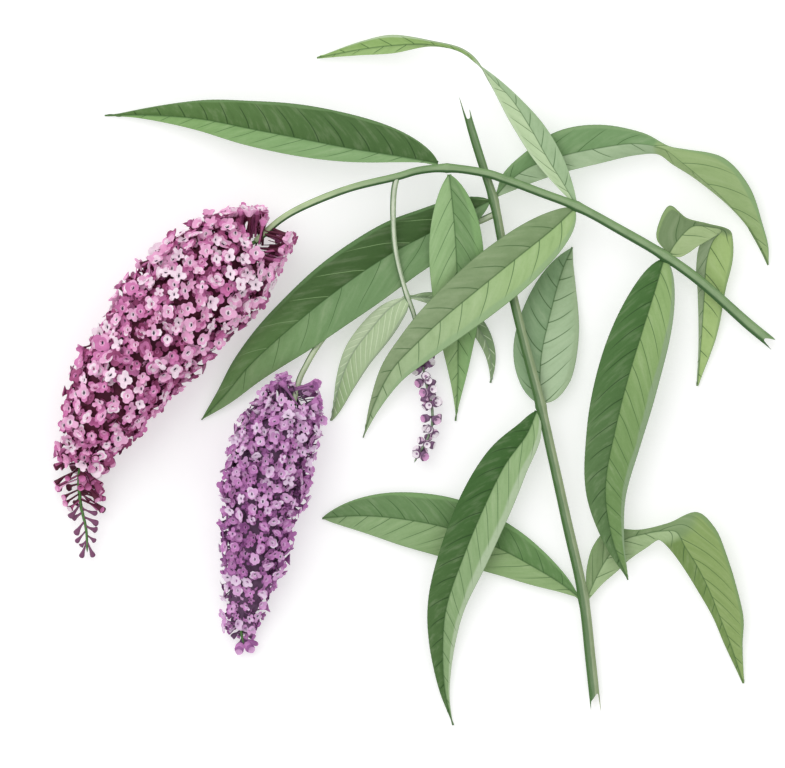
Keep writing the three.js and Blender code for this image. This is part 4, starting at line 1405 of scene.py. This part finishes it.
def make_head(context, name, radius):
    """A flower head's florets, bare end, dark middle and stalk."""
    settings = context.scene.sprig_flowers
    spec = HEADS[name]
    head = Head(spec)
    rng = np.random.default_rng(spec["seed"])
    petals = petal_set(name, settings)
    short = name.replace("_flower_head", "")
    florets = build_florets(spec, head, radius * 1000, rng).piece(short + "_florets", petals)
    finish_piece(florets, SLOTS[name], name)
    tip = build_tip(spec, head, radius * 1000, rng).piece(short + "_tip", petals)
    finish_piece(tip, SLOTS[name])
    core = build_core(short + "_core", spec, head)
    # the core takes the tubes' dark red as painted shade in the gaps between florets
    core.data.materials.append(petals[DARK_RED_AND_GAP_SHADE])
    finish_piece(core, SLOTS[name])
    rachis = build_rachis(short + "_rachis", spec["route"], (1.35, 0.5))
    # bark with painted shade down one side and a painted highlight along the top
    rachis.data.materials.append(
        bark_finish(short + "_rachis_bark", ("#4F8040", "#3F6A33", 0.2, 0.6, 0.2),
                    settings.rachis, srgb("#8DB070")))
    finish_piece(rachis, "stem_green")


def make_spike(context):
    """Bells in loose whorls round a thin stalk, dark outside and pale inside."""
    settings = context.scene.sprig_flowers
    rng = np.random.default_rng(SPIKE["seed"])
    curve = Route(SPIKE["route"])
    heap = Heap()
    whorl = SPIKE["whorl"]
    for i in range(SPIKE["florets"]):
        share = (i // whorl + 0.25 * rng.random()) / (SPIKE["florets"] // whorl)
        middle, heading, aside, above = curve.section(share)
        angle = i * GOLDEN_ANGLE + 0.6
        out = aside * math.cos(angle) + above * math.sin(angle)
        reach = SPIKE["reach"] * (1 - 0.25 * share) * rng.uniform(0.75, 1.2)
        facing = unit(out + heading * rng.uniform(-0.3, 0.7) + UP * 0.6
                      + rng.normal(0, 0.25, 3))
        size = settings.young_floret * 1000 * rng.uniform(0.85, 1.15) * (1 - 0.15 * share)
        inner = int(rng.choice([PALE, LIGHT, MID], p=[0.7, 0.15, 0.15]))
        outer = int(rng.choice([PALE, LIGHT, MID, DEEP], p=[0.15, 0.2, 0.15, 0.5]))
        # down one side of each bell, half of them carry a painted highlight and the rest a
        # deeper stripe
        add_bell(heap, middle, middle + facing * reach, size, heading * 0,
                 (DARK_RED_AND_GAP_SHADE, outer, DARK_RED_AND_GAP_SHADE, inner, LIGHT if rng.random() < 0.5 else DEEP),
                 rng.uniform(0, 2 * math.pi), "cup", 0.05, rng.uniform(0, 0.6))
    florets = heap.piece("young_florets", petal_set("young_flower_spike", settings))
    finish_piece(florets, SLOTS["young_flower_spike"], "young_flower_spike")
    rachis = build_rachis("young_rachis", SPIKE["route"], SPIKE["radius"])
    # bark with painted shade down one side and a painted highlight along the top
    rachis.data.materials.append(
        bark_finish("young_rachis_bark", ("#8FAE86", "#66805F", 0.2, 0.6, 0.3),
                    srgb("#A9BFA0"), srgb("#C5D2BC")))
    finish_piece(rachis, "stem_green")


# ---- stage -------------------------------------------------------------------------------


SENSOR = 36               # millimetres, width of the camera's sensor
AIM = np.array([-9.75, -1.5, 12.0])         # middle of the view, in the routes' coordinates
FLOOR_SIZE = 14           # metres
FLOOR_PARTS = 24          # faces along each side


def build_floor(settings):
    bpy.ops.mesh.primitive_grid_add(x_subdivisions=FLOOR_PARTS, y_subdivisions=FLOOR_PARTS,
                                    size=FLOOR_SIZE)
    floor = bpy.context.active_object
    floor.name = "floor"
    finish = Finish("pale_floor", Roughness=0.9, Specular_IOR_Level=0.1,
                    Emission_Strength=settings.glow)
    paper = finish.noise(40)
    finish.feed("Base Color", finish.blend(paper, settings.floor, srgb("#DDDDDD")))
    finish.feed("Emission Color", (1, 1, 1))
    floor.data.materials.append(finish.material)


def build_lights(settings):
    world = bpy.data.worlds.new("room")
    bpy.context.scene.world = world
    world.use_nodes = True
    background = world.node_tree.nodes["Background"]
    background.inputs["Color"].default_value = (1, 1, 1, 1)
    background.inputs["Strength"].default_value = settings.sky
    light = bpy.data.lights.new("key", "AREA")
    light.shape = "DISK"
    light.size = 2.4
    light.energy = settings.key
    lamp = bpy.data.objects.new("key", light)
    lamp.location = (-0.9, 1.1, 2.2)
    lamp.rotation_euler = (math.radians(-26.6), math.radians(-22.2), 0)
    bpy.context.collection.objects.link(lamp)


def build_camera(settings):
    """Straight down over the middle of the view, from far off."""
    camera = bpy.data.cameras.new("camera")
    camera.lens = settings.lens
    camera.sensor_width = SENSOR
    distance = settings.view_width * settings.lens / SENSOR
    camera.clip_end = distance * 3
    eye = bpy.data.objects.new("camera", camera)
    eye.location = to_part(AIM) + UP * distance
    bpy.context.collection.objects.link(eye)
    bpy.context.scene.camera = eye
    bpy.context.scene.view_settings.view_transform = "Standard"


# ---- operators ---------------------------------------------------------------------------


class SPRIGS_OT_upright_stem(Operator):
    """Adds the upright stem, cut at its foot and torn at its tip"""

    bl_idname = "sprigs.upright_stem"
    bl_label = "Upright Stem"
    bl_options = {"REGISTER", "UNDO"}

    def execute(self, context):
        make_stem(context, "upright_stem", "upright_stem")
        return {"FINISHED"}


class SPRIGS_OT_arching_branch(Operator):
    """Adds the arching branch in one length, from its torn end to the pink flower head"""

    bl_idname = "sprigs.arching_branch"
    bl_label = "Arching Branch"
    bl_options = {"REGISTER", "UNDO"}

    def execute(self, context):
        make_stem(context, "arching_branch", "arching_branch_right", "arching_branch_left")
        return {"FINISHED"}


class SPRIGS_OT_thin_shoots(Operator):
    """Adds the side shoot and the purple flower head's stalk"""

    bl_idname = "sprigs.thin_shoots"
    bl_label = "Thin Shoots"
    bl_options = {"REGISTER", "UNDO"}

    def execute(self, context):
        for name in ("side_shoot", "purple_flower_stalk"):
            make_stem(context, name, name)
        return {"FINISHED"}


class SPRIGS_OT_open_leaves(Operator):
    """Adds the ten leaves that lie open, with veins sunk into their blades"""

    bl_idname = "sprigs.open_leaves"
    bl_label = "Open Leaves"
    bl_options = {"REGISTER", "UNDO"}

    def execute(self, context):
        for name, leaf in LEAVES.items():
            make_leaf(context, name, leaf, open_blade(leaf), name)
        return {"FINISHED"}


class SPRIGS_OT_folded_leaves(Operator):
    """Adds the four leaves that fold over on themselves"""

    bl_idname = "sprigs.folded_leaves"
    bl_label = "Folded Leaves"
    bl_options = {"REGISTER", "UNDO"}

    def execute(self, context):
        for name, leaf in FOLDED_LEAVES.items():
            make_leaf(context, name, leaf, folded_blade(leaf), name + "_inner", name + "_outer")
        return {"FINISHED"}


class SPRIGS_OT_pink_head(Operator):
    """Adds the pink flower head: florets, buds, dark middle and stalk"""

    bl_idname = "sprigs.pink_head"
    bl_label = "Pink Flower Head"
    bl_options = {"REGISTER", "UNDO"}

    def execute(self, context):
        make_head(context, "pink_flower_head", context.scene.sprig_flowers.pink_floret)
        return {"FINISHED"}


class SPRIGS_OT_purple_head(Operator):
    """Adds the purple flower head: florets, half-open bells, dark middle and stalk"""

    bl_idname = "sprigs.purple_head"
    bl_label = "Purple Flower Head"
    bl_options = {"REGISTER", "UNDO"}

    def execute(self, context):
        make_head(context, "purple_flower_head", context.scene.sprig_flowers.purple_floret)
        return {"FINISHED"}


class SPRIGS_OT_young_spike(Operator):
    """Adds the spike of young florets at the side shoot's tip"""

    bl_idname = "sprigs.young_spike"
    bl_label = "Young Flower Spike"
    bl_options = {"REGISTER", "UNDO"}

    def execute(self, context):
        make_spike(context)
        return {"FINISHED"}


class SPRIGS_OT_stage(Operator):
    """Adds the floor, the soft light and the camera that looks straight down"""

    bl_idname = "sprigs.stage"
    bl_label = "Stage"
    bl_options = {"REGISTER", "UNDO"}

    def execute(self, context):
        settings = context.scene.sprig_stage
        build_floor(settings)
        build_lights(settings)
        build_camera(settings)
        return {"FINISHED"}


OPERATORS = (SPRIGS_OT_stage, SPRIGS_OT_upright_stem, SPRIGS_OT_arching_branch,
             SPRIGS_OT_thin_shoots, SPRIGS_OT_open_leaves, SPRIGS_OT_folded_leaves,
             SPRIGS_OT_pink_head, SPRIGS_OT_purple_head, SPRIGS_OT_young_spike)
SETTINGS = {"sprig_stems": StemSettings, "sprig_leaves": LeafSettings,
            "sprig_flowers": FlowerSettings, "sprig_stage": StageSettings}


class SPRIGS_PT_sidebar(Panel):
    """Lists the operators and the sizes and colours they use"""

    bl_idname = "SPRIGS_PT_sidebar"
    bl_label = "Butterfly Bush Sprigs"
    bl_space_type = "VIEW_3D"
    bl_region_type = "UI"
    bl_category = "Sprigs"

    def draw(self, context):
        for operator in OPERATORS:
            self.layout.operator(operator.bl_idname)
        for name, group in SETTINGS.items():
            box = self.layout.box()
            box.label(text=group.__doc__)
            for setting in group.__annotations__:
                box.prop(getattr(context.scene, name), setting)


def register():
    for group in SETTINGS.values():
        bpy.utils.register_class(group)
    for operator in OPERATORS:
        bpy.utils.register_class(operator)
    bpy.utils.register_class(SPRIGS_PT_sidebar)
    for name, group in SETTINGS.items():
        setattr(bpy.types.Scene, name, PointerProperty(type=group))


def unregister():
    for name in SETTINGS:
        delattr(bpy.types.Scene, name)
    bpy.utils.unregister_class(SPRIGS_PT_sidebar)
    for operator in reversed(OPERATORS):
        bpy.utils.unregister_class(operator)
    for group in reversed(SETTINGS.values()):
        bpy.utils.unregister_class(group)


def main():
    register()
    for operator in OPERATORS:
        group, name = operator.bl_idname.split(".")
        getattr(getattr(bpy.ops, group), name)()


if __name__ == "__main__":
    main()
